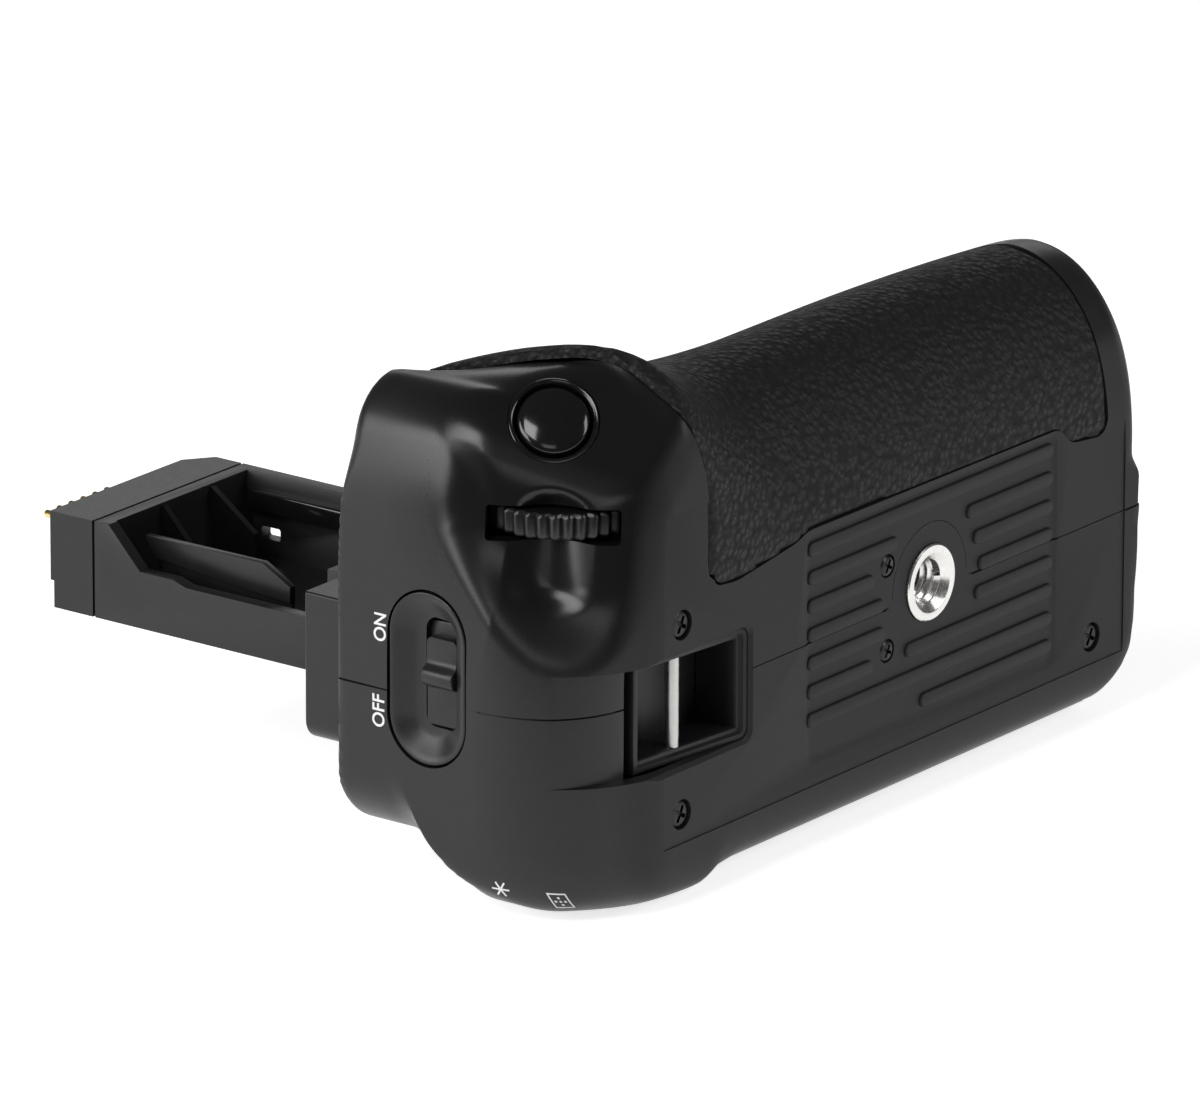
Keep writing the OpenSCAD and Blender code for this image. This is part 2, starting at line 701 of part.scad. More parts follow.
module stalk_head() {
    top = stalk_z + stalk_t;
    y0 = stalk_y - head_l + 0.02;
    color(black) difference() {
        union() {
            translate([0, 0, stalk_z]) linear_extrude(stalk_t) polygon([
                [stalk_x, y0], [stalk_x + stalk_w, y0], [stalk_x + stalk_w, stalk_y - 3], [stalk_x + stalk_w - 4, stalk_y],
                [stalk_x, stalk_y]]);
        }
        span([stalk_x - 1, stalk_x + stalk_w + 1], [stalk_y - 0.6, stalk_y + 1], [stalk_z - 1, stalk_z + 3.9]);
        span([stalk_x - 1, stalk_x + stalk_w + 1], [y0 - 1, y0 + 0.4], [top - 0.4, top + 1]);
        span([stalk_x - 1, stalk_x + 0.4], [y0 - 1, y0 + 0.4], [stalk_z - 1, top + 1]);
        for (k = [1:6]) post([pin_x(k), pin_z()], y0 - 1, head_l + 2, 0.55 + fit);
    }
}

// Sprung clip in the stalk that holds the camera's battery door
module door_clip() {
    y0 = grip_h + collar_h + 6;
    y1 = stalk_y - head_l - 7;
    floor_z = stalk_z + stalk_wall;
    color(gloss) {
        translate([stalk_x + 5.4, 0, 0]) rotate([90, 0, 90]) linear_extrude(1) polygon([
            [y0, floor_z], [y1, floor_z], [y1, floor_z + 9.2], [y0 + 7, floor_z + 9.2], [y0, floor_z + 5]]);
    }
}

module contact_pin(k) {
    color(gold) post([pin_x(k), pin_z()], stalk_y - head_l + 1.6, head_l + 0.5, 0.55);
}

module shutter_bezel() {
    color(gloss) at_button() difference() {
        translate([0, 0, -2]) cylinder(r = bezel_r, h = 2.2);
        translate([0, 0, -3]) cylinder(r = button_d / 2 + 0.2, h = 6);
        translate([0, 0, -0.4]) cylinder(r1 = button_d / 2 + 0.2, r2 = button_d / 2 + 0.9, h = 0.7);
    }
}

module shutter_button() {
    color(gloss) at_button() union() {
        translate([0, 0, -3.2]) cylinder(d = button_d, h = 3.2);
        intersection() {
            translate([0, 0, -29.2]) sphere(r = 30);
            translate([0, 0, -0.1]) cylinder(d = button_d, h = 2);
        }
        translate([0, 0, -3.4]) cylinder(r = button_d / 2 + 0.7, h = 1);
        translate([0, 0, -6]) cylinder(r = 1.8, h = 3);
    }
}

module shutter_switch() {
    color(green) at_button() {
        translate([-3.2, -3.2, -10.4]) cube([6.4, 6.4, 2.4]);
        translate([0, 0, -8 - eps]) cylinder(r = 1.6, h = 2 - button_travel - 0.1);
    }
}

module main_dial() {
    color(black) translate([dial_c[0], dial_c[1], dial_z - dial_t / 2]) difference() {
        cylinder(r = dial_r, h = dial_t);
        translate([0, 0, -1]) cylinder(r = axle_r + 0.06, h = dial_t + 2);
        for (k = [0:dial_ribs - 1]) rotate(360 * k / dial_ribs) translate([dial_r + 0.35, 0, -1])
            cylinder(r = 0.75, h = dial_t + 2, $fn = 16);
    }
}

module dial_axle() {
    color(steel) translate([dial_c[0], dial_c[1], arm_z[0]]) cylinder(r = axle_r, h = arm_z[1] + arm_t - arm_z[0]);
}

// Bracket on the tripod-face wall that carries the dial's axle and the shutter switch
module dial_bracket() {
    foot_y = wall + rubber_t + 0.1;
    stem_y = foot_y + 2.9;
    arm_r = 3.1 * axle_r;
    stem_x = [dial_c[0] + 0.7 * dial_r, dial_c[0] + 2 * arm_r + 0.4];
    color(gloss) difference() {
        union() {
            for (z = arm_z) {
                translate([dial_c[0], dial_c[1], z]) cylinder(r = arm_r, h = arm_t);
                span([dial_c[0], stem_x[1]], [stem_y, dial_c[1] + arm_r], [z, z + arm_t]);
            }
            span(stem_x, [stem_y, stem_y + 1.4], [arm_z[0], arm_z[1] + arm_t]);
            span([dial_c[0] + arm_r, stem_x[1]], [foot_y, stem_y + 1.4], [arm_z[0], arm_z[0] + 1.6 * arm_t]);
            difference() {
                translate([dial_c[0] + 2.6, dial_c[1] + 3, arm_z[1] + arm_t - eps]) cylinder(r = 2, h = 12);
                at_button() translate([-20, -20, -10.45]) cube([40, 40, 30]);
            }
        }
        translate([dial_c[0], dial_c[1], dial_z - 10]) cylinder(r = axle_r + 0.01, h = 20);
    }
}

module switch_plate() {
    color(black) difference() {
        oval(plate_c, plate_w, plate_l, 0.3 - end_x, 2.5 - end_x);
        oval(slot_c, slot_w, slot_l, -end_x - 1, 4 - end_x);
    }
}

module power_switch() {
    z0 = slot_c[1] - slot_l / 2 + 0.15;
    color(black) {
        oval([slot_c[0], z0 + tab_l / 2], slot_w - 0.5, tab_l, -end_x, 3.4 - end_x);
        span([0.1 - end_x - 1, 1 - end_x], [slot_c[0] - 2.2, slot_c[0] + 2.2], [z0 + 4.6, z0 + 7.6]);
        span([2.8 - end_x, 3.8 - end_x], [slot_c[0] - slot_w / 2 - 0.5, slot_c[0] + slot_w / 2 + 0.5],
            [z0 - 2, z0 + tab_l + 2]);
    }
}

module switch_body() {
    color(steel) span([4.1 - end_x, board_x], [slot_c[0] - 4, slot_c[0] + 4], [-6, 9]);
}

module control_board() {
    color(green) span([board_x, board_x + board_t], board_y, board_z);
}

module thumb_button(k) {
    color(gloss) translate([thumb_x, thumb_y[k], -rear_depth(thumb_x)]) {
        translate([0, 0, -0.6]) cylinder(r = thumb_r, h = thumb_in + 0.7);
        translate([0, 0, thumb_in]) cylinder(r = thumb_r + thumb_rim, h = thumb_t);
    }
}

module thumb_board() {
    color(green) {
        span([thumb_x - thumb_board_w / 2, thumb_x + thumb_board_w / 2], thumb_board_y,
            [thumb_board_z, thumb_board_z + board_t]);
        for (y = thumb_y) translate([thumb_x, y, thumb_board_z - key_h]) cylinder(r = 2, h = key_h + eps);
    }
}

// Open-topped drawer with two battery bays side by side
module battery_drawer() {
    x0 = drawer_x - drawer_w / 2;
    color(gloss) difference() {
        span([x0, x0 + drawer_w], [drawer_y, drawer_y + drawer_h], drawer_z);
        for (k = [0, 1]) translate([x0 + drawer_wall + k * (bay_w + drawer_wall), drawer_y + drawer_wall,
            drawer_z[0] + drawer_wall]) cube([bay_w, battery_t + 5, bay_l]);
        for (k = [0, 1]) translate([x0 + drawer_wall + k * (bay_w + drawer_wall) + bay_w / 2 - 7, drawer_y - 1,
            drawer_z[0] + 10]) cube([14, 10, 26]);
    }
}

module drawer_door() {
    color(black) difference() {
        intersection() {
            rear_loft(0, part_z);
            span(door_x, door_y, [-60, door_in]);
        }
        translate([latch_x, latch_y, -60]) cylinder(r = latch_r + fit, h = 40);
    }
}

module drawer_contacts() {
    x0 = drawer_x - drawer_w / 2;
    color(gold) for (k = [0, 1]) for (s = [-1, 1]) translate([x0 + drawer_wall + bay_w / 2
        + k * (bay_w + drawer_wall) + s * 6 - 1.5, drawer_y + drawer_wall + 2, drawer_z[1] - drawer_wall - 0.4])
        cube([3, 8, 0.4]);
}

module bay_contacts() {
    color(gloss) span([drawer_x - 11.8, drawer_x + 11.8], [drawer_y + 3.2, drawer_y + 10.8],
        [drawer_z[1] + 0.3, frame_z[1] + frame_wall + 2]);
}

// Turn key of the drawer: its tongue passes the slot of the ledge when it stands open
module latch_knob() {
    color(gloss) translate([latch_x, latch_y, 0]) difference() {
        union() {
            translate([0, 0, -rear_z + 0.1]) cylinder(r = latch_r, h = rear_z + door_in - 0.1);
            translate([0, 0, door_in - eps]) cylinder(r = 2.2, h = ledge_t + 2);
            translate([-2, -5.4, ledge_z + ledge_t + 0.3]) cube([4, 10.8, 1.6]);
        }
        translate([0, 0, -rear_z - 1]) cylinder(r = latch_r - 0.7, h = 2.7);
    }
}

// D-shaped ring that folds into the knob
module latch_ring() {
    z = -rear_z + 0.25;
    color(steel) translate([latch_x, latch_y, z]) union() {
        intersection() {
            difference() {
                cylinder(r = latch_r - 1.5, h = ring_t);
                translate([0, 0, -1]) cylinder(r = latch_r - 2.9, h = 4);
            }
            translate([-10, -3, -1]) cube([20, 20, 4]);
        }
        translate([-ring_pin / 2, -2.9, ring_t / 2]) rotate([0, 90, 0]) cylinder(d = ring_t, h = ring_pin);
    }
}

front_shell();
rear_shell();
front_rubber();
inner_frame();
mount_plate();
mating_pad();
mount_screw();
mount_wheel();
locating_pin();
tripod_bush();
bush_plate();
bush_screws();
case_screws();
lug_frame();
lug_bracket();
strap_bar();
stalk_collar();
stalk_housing();
stalk_head();
door_clip();
contact_pin(1);  // contact_pin_1
contact_pin(2);  // contact_pin_2
contact_pin(3);  // contact_pin_3
contact_pin(4);  // contact_pin_4
contact_pin(5);  // contact_pin_5
contact_pin(6);  // contact_pin_6
shutter_bezel();
shutter_button();
shutter_switch();
main_dial();
dial_axle();
dial_bracket();
switch_plate();
power_switch();
switch_body();
control_board();
thumb_button(0);  // lock_button
thumb_button(1);  // focus_button
thumb_board();
battery_drawer();
drawer_door();
drawer_contacts();
bay_contacts();
latch_knob();
latch_ring();
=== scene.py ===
"""Camera battery grip: moulded shells, leather-grained rubber, finger rest, stalk and rear drawer."""
import math

import bmesh
import bpy
import numpy as np
from bpy.props import FloatProperty, FloatVectorProperty, IntProperty, PointerProperty
from mathutils import Matrix, Vector


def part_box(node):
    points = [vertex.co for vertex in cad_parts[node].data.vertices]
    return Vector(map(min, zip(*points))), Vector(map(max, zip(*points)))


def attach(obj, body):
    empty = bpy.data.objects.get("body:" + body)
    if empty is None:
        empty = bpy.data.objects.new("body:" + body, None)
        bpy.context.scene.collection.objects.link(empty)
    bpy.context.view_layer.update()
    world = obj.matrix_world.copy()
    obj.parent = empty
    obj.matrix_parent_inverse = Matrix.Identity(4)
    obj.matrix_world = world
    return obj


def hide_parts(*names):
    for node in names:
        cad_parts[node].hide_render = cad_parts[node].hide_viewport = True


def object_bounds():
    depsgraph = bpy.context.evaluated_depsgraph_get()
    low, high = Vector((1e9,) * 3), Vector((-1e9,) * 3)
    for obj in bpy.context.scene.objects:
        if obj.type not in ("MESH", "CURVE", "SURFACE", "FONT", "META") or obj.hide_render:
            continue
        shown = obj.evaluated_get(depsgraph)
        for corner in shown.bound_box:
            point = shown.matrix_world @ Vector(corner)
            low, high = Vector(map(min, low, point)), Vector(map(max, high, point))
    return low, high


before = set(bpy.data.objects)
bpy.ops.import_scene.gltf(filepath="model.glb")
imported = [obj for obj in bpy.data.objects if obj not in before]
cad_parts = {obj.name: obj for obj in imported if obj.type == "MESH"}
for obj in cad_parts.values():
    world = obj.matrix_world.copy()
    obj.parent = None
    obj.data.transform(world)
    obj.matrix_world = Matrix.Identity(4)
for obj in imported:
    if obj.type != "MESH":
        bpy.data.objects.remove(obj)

bl_info = {
    "name": "Battery grip",
    "version": (1, 0, 0),
    "blender": (4, 5, 0),
    "location": "View3D > Sidebar > Grip",
    "description": "Builds the visual pieces of a camera battery grip on its packed frame",
    "category": "Object",
}

# One millimetre, and the distance at which vertices of the solids are merged, both in metres
MM = 0.001
WELD = 2e-6
CAD_BOX = [[float(c) for c in corner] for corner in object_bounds()]

# Places and sizes of the small features, in millimetres from the tripod socket

# On the tripod face: screws by (x, z), strap lug, sunk panel, the flat cut that levels the face
CASE_AT = ((-57.4, 9.0), (-57.4, -18.0), (38.6, -18.2))
BUSH_AT = ((-9.9, 4.9), (-9.9, -7.4))
LUG_X = (-64.3, -41.9)
LUG_Z = (-11.2, 4.6)
LUG_GAP = 0.1
LUG_R = 1.45
PAD_X = (-29.6, 30.4)
PAD_Z = (-19.4, 14.8)
PAD_DEEP = 0.5
FLAT = ((-61.5, -3, -22.2), (46.2, 0.18, 25.0))

# Pitch of the quarter-inch thread
PITCH = 1.27

# On the rear: thumb buttons, latch by (x, y), drawer door and the printed marks
THUMB_X = -62.5
THUMB_Y = {"lock": 17, "focus": 9}
LATCH_AT = (-38.6, 17.4)
DOOR_X = (-46.4, 43.5)
DOOR_Y = (3.3, 30.9)
DOOR_GAP = 0.35
STAR_AT = (-77.58, 15.54, -26.38)
FRAME_AT = (-73.8, 8.2, -27.4)
FRAME_SKEW = -0.5

# On the shutter end: curve of its lean, switch plate by (y, z) and the sliding tab
END_LEAN = 0.0025
PLATE_AT = (27.1, 1.5)
PLATE_SIZE = (12.8, 24.4)
PLATE_GAP = 0.35
TAB_Y = (22.95, 28.25)
TAB_Z = (-5.4, 7.25)

# Finger rest: its middle, the dial with its x from the end face, and the button's turn and tilt in degrees
REST_AT = (-68, 12, 28)
DIAL_AT = (16.76, 16.48, 24.2)
DIAL_THICK = 3.6
BUTTON_TURN = (220.3, 49.8)

# Height of the rubber cover over the facets that it runs out on
COVER_LIFT = 0.9

# The stalk across
STALK_X = (-69.8, -36.8)

# Picture that the camera was fitted to, in pixels: frame, focal length and the point on the lens axis
FRAME_PX = (1200, 1100)
FOCUS_PX = 13956.238
AXIS_PX = (932.3689, 582.6947)

# Search along the rays of a skin, the angle of the first row beside a seam and half the seam's width
RAY_STEP = 1.25
RAY_STEPS = 60
RAY_HALVINGS = 16
SEAM_ANGLE = math.radians(0.45)
SEAM_HALF = 0.13


class GripSizes(bpy.types.PropertyGroup):
    """Main sizes of the two shells"""
    end_x: FloatProperty(
        name="Shutter end", description="From the tripod axis to the shutter end",
        default=0.079, unit="LENGTH")
    far_x: FloatProperty(
        name="Far end", description="From the tripod axis to the far end",
        default=0.0506, unit="LENGTH")
    grip_h: FloatProperty(
        name="Height", description="From the tripod face to the camera face",
        default=0.0428, unit="LENGTH")
    part_z: FloatProperty(
        name="Parting", description="Parting plane of the shells from the tripod axis",
        default=-0.0014, unit="LENGTH")
    corner_r: FloatProperty(
        name="End corner", description="Radius of the corner at the shutter end",
        default=0.0195, unit="LENGTH")
    far_r: FloatProperty(
        name="Far corner", description="Radius of the corners at the far end",
        default=0.004, unit="LENGTH")
    front_z: FloatProperty(
        name="Front", description="Height of the front over the tripod axis",
        default=0.037, unit="LENGTH")
    hump_h: FloatProperty(
        name="Hump", description="Extra height of the front at the shutter end",
        default=0.0082, unit="LENGTH")
    rear_z: FloatProperty(
        name="Rear", description="Depth of the rear behind the tripod axis",
        default=0.0305, unit="LENGTH")
    step_z: FloatProperty(
        name="Rear step", description="Depth of the rear step beside the camera",
        default=0.0224, unit="LENGTH")
    wall: FloatProperty(
        name="Wall", description="Wall of both shells", default=0.0022, unit="LENGTH")
    seam: FloatProperty(
        name="Seam", description="Depth of the groove between the shells",
        default=0.00036, unit="LENGTH")


class GripRest(bpy.types.PropertyGroup):
    """Finger rest, dial and button"""
    ridge: FloatProperty(
        name="Ridge", description="Softness of the ridges round the finger rest",
        default=0.0042, unit="LENGTH")
    hollow: FloatProperty(
        name="Hollow", description="Softness of the foot of the dial recess",
        default=0.0045, unit="LENGTH")
    dial_r: FloatProperty(
        name="Dial", description="Radius of the command dial", default=0.011, unit="LENGTH")
    ribs: IntProperty(
        name="Ribs", description="Number of ribs round the dial", default=36)
    button_r: FloatProperty(
        name="Button", description="Radius of the shutter button", default=0.00495, unit="LENGTH")


class GripFinish(bpy.types.PropertyGroup):
    """Colours of the finishes"""
    shell: FloatVectorProperty(
        name="Shell", description="Satin moulded plastic", subtype="COLOR", size=3,
        default=(0.0105, 0.0105, 0.0112))
    rubber: FloatVectorProperty(
        name="Rubber", description="Leather-grained rubber", subtype="COLOR", size=3,
        default=(0.0095, 0.0095, 0.0103))
    gloss: FloatVectorProperty(
        name="Gloss", description="Polished plastic of the buttons", subtype="COLOR", size=3,
        default=(0.005, 0.005, 0.0055))
    steel: FloatVectorProperty(
        name="Steel", description="Turned steel", subtype="COLOR", size=3,
        default=(0.80, 0.79, 0.77))
    gold: FloatVectorProperty(
        name="Gold", description="Gold plate of the contacts", subtype="COLOR", size=3,
        default=(0.95, 0.68, 0.30))
    board: FloatVectorProperty(
        name="Board", description="Circuit boards", subtype="COLOR", size=3,
        default=(0.02, 0.10, 0.045))


class GripStage(bpy.types.PropertyGroup):
    """Camera, floor and lamps"""
    azimuth: FloatProperty(
        name="Azimuth", description="Camera azimuth", subtype="ANGLE", default=math.radians(54.3548))
    elevation: FloatProperty(
        name="Elevation", description="Camera elevation", subtype="ANGLE", default=math.radians(18.2950))
    roll: FloatProperty(
        name="Roll", description="Camera roll", subtype="ANGLE", default=math.radians(0.5946))
    distance: FloatProperty(
        name="Distance", description="From the tripod socket to the camera", default=1.92645, unit="LENGTH")
    lens: FloatProperty(
        name="Lens", description="Focal length in millimetres", default=418.69)
    floor_back: FloatProperty(
        name="Floor behind", description="Floor behind the grip", default=2.2, unit="LENGTH")
    floor_front: FloatProperty(
        name="Floor in front", description="Floor on the camera's side", default=0.175, unit="LENGTH")


# Smooth step, smooth maximum and smooth minimum
def smooth(t):
    c = np.clip(t, 0.0, 1.0)
    return c * c * (3 - 2 * c)


def smax(a, b, k):
    h = np.maximum(k - np.abs(a - b), 0.0) / k
    return np.maximum(a, b) + h * h * k * 0.25


def smin(a, b, k):
    return -smax(-a, -b, k)


# Drop of an arc of the radius r at a distance from its top
def arc_drop(r, away):
    return r - np.sqrt(np.maximum(0, r * r - away * away))


# Surfaces of the shells, in millimetres: a point is inside where the value is below zero
class Form:
    def __init__(self):
        sizes = bpy.context.scene.grip_sizes
        for key in ("end_x", "far_x", "grip_h", "part_z", "corner_r", "far_r", "front_z", "hump_h", "rear_z",
                    "step_z", "wall", "seam"):
            setattr(self, key, getattr(sizes, key) / MM)
        rest = bpy.context.scene.grip_rest
        self.ridge = rest.ridge / MM
        self.hollow = rest.hollow / MM
        self.cap_x = self.end_x - 22
        self.mid_y = 21.0
        self.far_foot_r = 2.6
        self.button_c = np.array([13.2 - self.end_x, 15.6, 37.1])
        turn, tilt = (math.radians(a) for a in BUTTON_TURN)
        across = math.sin(tilt)
        self.button_n = np.array([math.cos(turn) * across, math.sin(turn) * across, math.cos(tilt)])
        self.dial_o = np.array([7.4 - self.end_x, 11.5])
        self.dial_n = np.array([-0.883, -0.47])

    # Outline seen from the front: the far corner is sharp at mid height and rounder towards front and rear
    def plan(self, x, y, z):
        far = 1 + (self.far_r - 1) * smooth((z - 2.5) / 3.6) + 2.2 * np.clip((-2 - z) / 20, 0, 1)
        d = np.maximum(np.maximum(-self.end_x - x, x - self.far_x), np.maximum(-y, y - self.grip_h))
        for cx, cy, r, sx, sy in (
                (self.corner_r - self.end_x, self.corner_r, self.corner_r, -1, -1),
                (1.2 - self.end_x, self.grip_h - 1.2, 1.2, -1, 1),
                (self.far_x - far, far, far, 1, -1),
                (self.far_x - self.far_r, self.grip_h - self.far_r, self.far_r, 1, 1)):
            here = (sx * (x - cx) > 0) & (sy * (y - cy) > 0)
            d = np.where(here, np.hypot(x - cx, y - cy) - r, d)
        return d

    # Lowest y of the outline at a given x
    def low_y(self, x, far_r):
        cx = self.corner_r - self.end_x
        near = np.minimum(0, np.maximum(x, -self.end_x) - cx)
        far = np.maximum(0, np.minimum(x, self.far_x) - self.far_x + far_r)
        return arc_drop(self.corner_r, near) + arc_drop(far_r, far)

    # Height of the front: a crest over the hand grip that falls to the tripod face and to the camera
    def front_height(self, x, y, cover):
        far_fall, cap_step = 2.2, 2.1
        back_z, back_rise = 20, 16.2
        crest_y, crest_shift = 17, 5
        foot_z, foot_rise = 12, 18
        beyond = x + self.cap_x
        hump = 1 - np.clip((beyond - 2) / 24, 0, 1)
        crest = self.front_z + self.hump_h * hump ** 2 - far_fall * (np.maximum(0, x) / self.far_x) ** 2
        edge = back_z + back_rise * (1 - smooth(beyond / 42)) + 0.045 * np.maximum(0, -beyond) ** 2
        if cover:
            edge = edge + COVER_LIFT * (1 - smooth(beyond / 16))
        else:
            crest = crest - cap_step * smooth((2 - beyond) / 2)
        top_y = crest_y - crest_shift * (1 - smooth(beyond / 22))
        foot = foot_z + foot_rise * (1 - smooth((beyond + 2) / 26))
        low = self.low_y(x, self.far_r)
        top_y = np.maximum(top_y, low + 1.5)
        t = np.clip((top_y - y) / (top_y - low), 0, 1)
        down = foot + (crest - foot) * np.sqrt(np.maximum(0, 1 - t * t))
        back = crest - (crest - edge) * np.maximum(0, (y - top_y) / (self.grip_h - top_y)) ** 1.6
        return np.where(y < top_y, down, back)

    # Shutter end: it leans back towards the front and rolls over into the shoulder
    def end_face(self, x, z):
        lean = -self.end_x + END_LEAN * np.maximum(z, 0) ** 2 + 0.006 * np.maximum(z - 24, 0) ** 2 - x
        upright_z, top_z, top_r, slope = 33.6, 40.2, 9.07, 0.9
        cx = 12.1 - self.end_x
        round_top = np.hypot(x - cx, z - top_z + top_r) - top_r
        t = np.maximum(0, x - cx)
        over = (z - top_z - slope * t * t / (t + 3)) / np.sqrt(1 + slope ** 2 * smooth(t / 6))
        return np.where(z < upright_z, lean, np.where(x < cx, round_top, over))

    # Panel sunk in the tripod face, with soft edges
    def panel(self, x, z):
        corner, slope = 2.2, 1.3
        low = PAD_Z[0] - 0.02 * (x - PAD_X[0])
        dx = np.maximum(PAD_X[0] - x, x - PAD_X[1]) + corner
        dz = np.maximum(low - z, z - PAD_Z[1]) + corner
        d = np.hypot(np.maximum(dx, 0), np.maximum(dz, 0)) + np.minimum(np.maximum(dx, dz), 0) - corner
        return PAD_DEEP * smooth(-d / slope)

    # Outline of the dial recess, seen along the dial's facet
    def arch(self, p, q):
        outline = ((-15.0, 30), (-15.0, 2), (-8.8, -4.4), (-2.8, -9.4), (1.6, -10.9), (6, -10.6), (10, -8.8),
                   (12.6, -4.4), (12.7, 2), (12.0, 30))
        d = np.full(p.shape, -99.0)
        for (ax, ay), (bx, by) in zip(outline, outline[1:]):
            ex, ey = bx - ax, by - ay
            d = smax(d, (ey * (p - ax) - ex * (q - ay)) / math.hypot(ex, ey), 2.0)
        return d

    # Recess of the finger rest and the scallop round the dial
    def rest(self, x, y, z):
        dial_z, foot_z, half = 24, 15.8, 5.7
        dx, dy = x - self.dial_o[0], y - self.dial_o[1]
        out = dx * self.dial_n[0] + dy * self.dial_n[1]
        along = dy * self.dial_n[0] - dx * self.dial_n[1]
        grow = 1 + 0.9 * np.clip((out + 1) / 14, 0, 1)
        arch = self.arch((along - 1) / grow, (z - 22) / grow) * grow
        hollow = smin(out + 0.8 + 0.14 * (z - dial_z), -arch, self.hollow)
        past = np.where(z < dial_z, np.maximum(0, foot_z - z) / 3.2, (z - dial_z) / 5)
        deep = np.clip(1.1 + 0.12 * (z - 14), 0.8, 2.2)
        return hollow, hollow + deep * np.maximum(1 - (along / half) ** 2 - past ** 2, -2.0)

    # Front shell with its finger rest, or the plainer rubber cover over it
    def front(self, p, cover=False):
        x, y, z = p[..., 0], p[..., 1], p[..., 2]
        edge = 1.3 + 3.4 * smooth((x - self.far_x + 12) / 6)
        corner = smooth((self.corner_r - self.end_x - x) / 8) * smooth((self.corner_r - y) / 8)
        lean = END_LEAN * np.maximum(z, 0) ** 2 * corner
        plan = np.maximum(self.plan(x, y, z) + (0 if cover else lean), self.panel(x, z) - y)
        body = smax(plan, z - self.front_height(x, y, cover), edge)
        facet = (p - self.button_c) @ self.button_n
        hollow, scallop = self.rest(x, y, z)
        ridge = self.ridge
        if cover:
            return smax(smax(body, facet - COVER_LIFT, 0.6 * ridge), hollow - COVER_LIFT, 0.6 * ridge)
        body = smax(body, self.end_face(x, z), 0.05 + 2.95 * smooth((z - 22) / 10))
        both = smax(body, facet, ridge * (0.55 + 0.2 * smooth((x + self.end_x - 12) / 6)))
        soft = ridge * (0.5 + 0.4 * smooth((body - facet) / 3 + 0.5))
        return smax(smax(both, hollow, soft), scallop, 0.7)

    # Rear shell: thumb rest at the shutter end, a step beside the camera, rounded lower edges
    def rear(self, p):
        x, y, z = p[..., 0], p[..., 1], p[..., 2]
        end_r, step_r, far_r, edge_r = 7, 11, 8, 8
        from_end = np.maximum(0, x + self.end_x)
        thumb = smooth((39 - from_end) / 12)
        depth = self.rear_z + smooth((33 - from_end) / 4.5) - 1.7 * smooth((29 - from_end) / 26)
        step = self.step_z + 1.4 * thumb
        far = arc_drop(far_r, np.maximum(0, np.minimum(x, self.far_x) - self.far_x + far_r))
        depth = depth - arc_drop(end_r, np.maximum(0, end_r - from_end)) - far
        step = np.minimum(depth - 1, step - arc_drop(step_r, np.maximum(0, step_r - from_end)) - far)
        r = np.minimum(edge_r - 2 * thumb, depth - 3)
        low = self.low_y(x, self.far_foot_r)
        y0 = np.maximum(31.2 - 13.2 * thumb, low + r + 1)
        y1 = np.maximum(32.6 + 1.6 * thumb, y0 + 1)
        fall = depth - (depth - step) * smooth((y - y0) / (y1 - y0))
        fall = fall - arc_drop(r, np.maximum(0, r - np.maximum(0, y - low)))
        return smax(np.maximum(self.plan(x, y, z), self.panel(x, z) - y), -z - fall, 1.2)


# A closed skin: a grid whose points go out along rays until the field crosses zero.
# Rows are counted at the shutter end, between and at the far end; up is 1 for the front, -1 for the rear.
def skin(bm, field, rows, columns, form, up, inset=0.0, ends=(-55.0, 40.0), seam=0.0, shut=True):
    near, mid, far = rows
    grid = bmesh.ops.create_grid(bm, x_segments=near + mid + far, y_segments=columns, size=0.5)["verts"]
    u = np.rint(np.array([v.co.x + 0.5 for v in grid]) * (near + mid + far))
    v = np.rint(np.array([w.co.y + 0.5 for w in grid]) * columns)
    theta = math.pi * v / columns
    theta = np.where(v == 1, SEAM_ANGLE, theta)
    theta = np.where(v == columns - 1, math.pi - SEAM_ANGLE, theta)
    x = np.where(u < near, ends[0], np.where(u > near + mid, ends[1],
                 ends[0] + (ends[1] - ends[0]) * (u - near) / mid))
    phi = np.where(u < near, -0.5 * math.pi * (1 - u / near), 0.0)
    phi = np.where(u > near + mid, 0.5 * math.pi * (u - near - mid) / far, phi)
    lift = 14.0 if up > 0 else 10.0
    start = np.stack([x, np.full_like(x, form.mid_y), form.part_z + up * lift * np.sin(theta) ** 2], -1)
    ray = np.stack([np.sin(phi), np.cos(phi) * np.cos(theta), up * np.cos(phi) * np.sin(theta)], -1)
    reach = np.zeros_like(x)
    open_ray = np.ones(x.shape, bool)
    for _ in range(RAY_STEPS):
        step = np.where(open_ray, reach + RAY_STEP, reach)
        open_ray = field(start + ray * step[:, None]) + inset < 0
        reach = np.where(open_ray, step, reach)
    low, high = reach, reach + RAY_STEP
    for _ in range(RAY_HALVINGS):
        half = 0.5 * (low + high)
        inside = field(start + ray * half[:, None]) + inset < 0
        low, high = np.where(inside, half, low), np.where(inside, high, half)
    rim = (v == 0) | (v == columns)
    low = low - np.where(rim, seam, 0.0)
    place = start + ray * low[:, None]
    place[:, 2] = np.where(rim, form.part_z, place[:, 2])
    for vert, co in zip(grid, place):
        vert.co = co
    bmesh.ops.remove_doubles(bm, verts=bm.verts[:], dist=0.004)
    if shut:
        close(bm)


def close(bm):
    loose = [e for e in bm.edges if e.is_boundary]
    bmesh.ops.contextual_create(bm, geom=loose)
    bmesh.ops.recalc_face_normals(bm, faces=bm.faces[:])


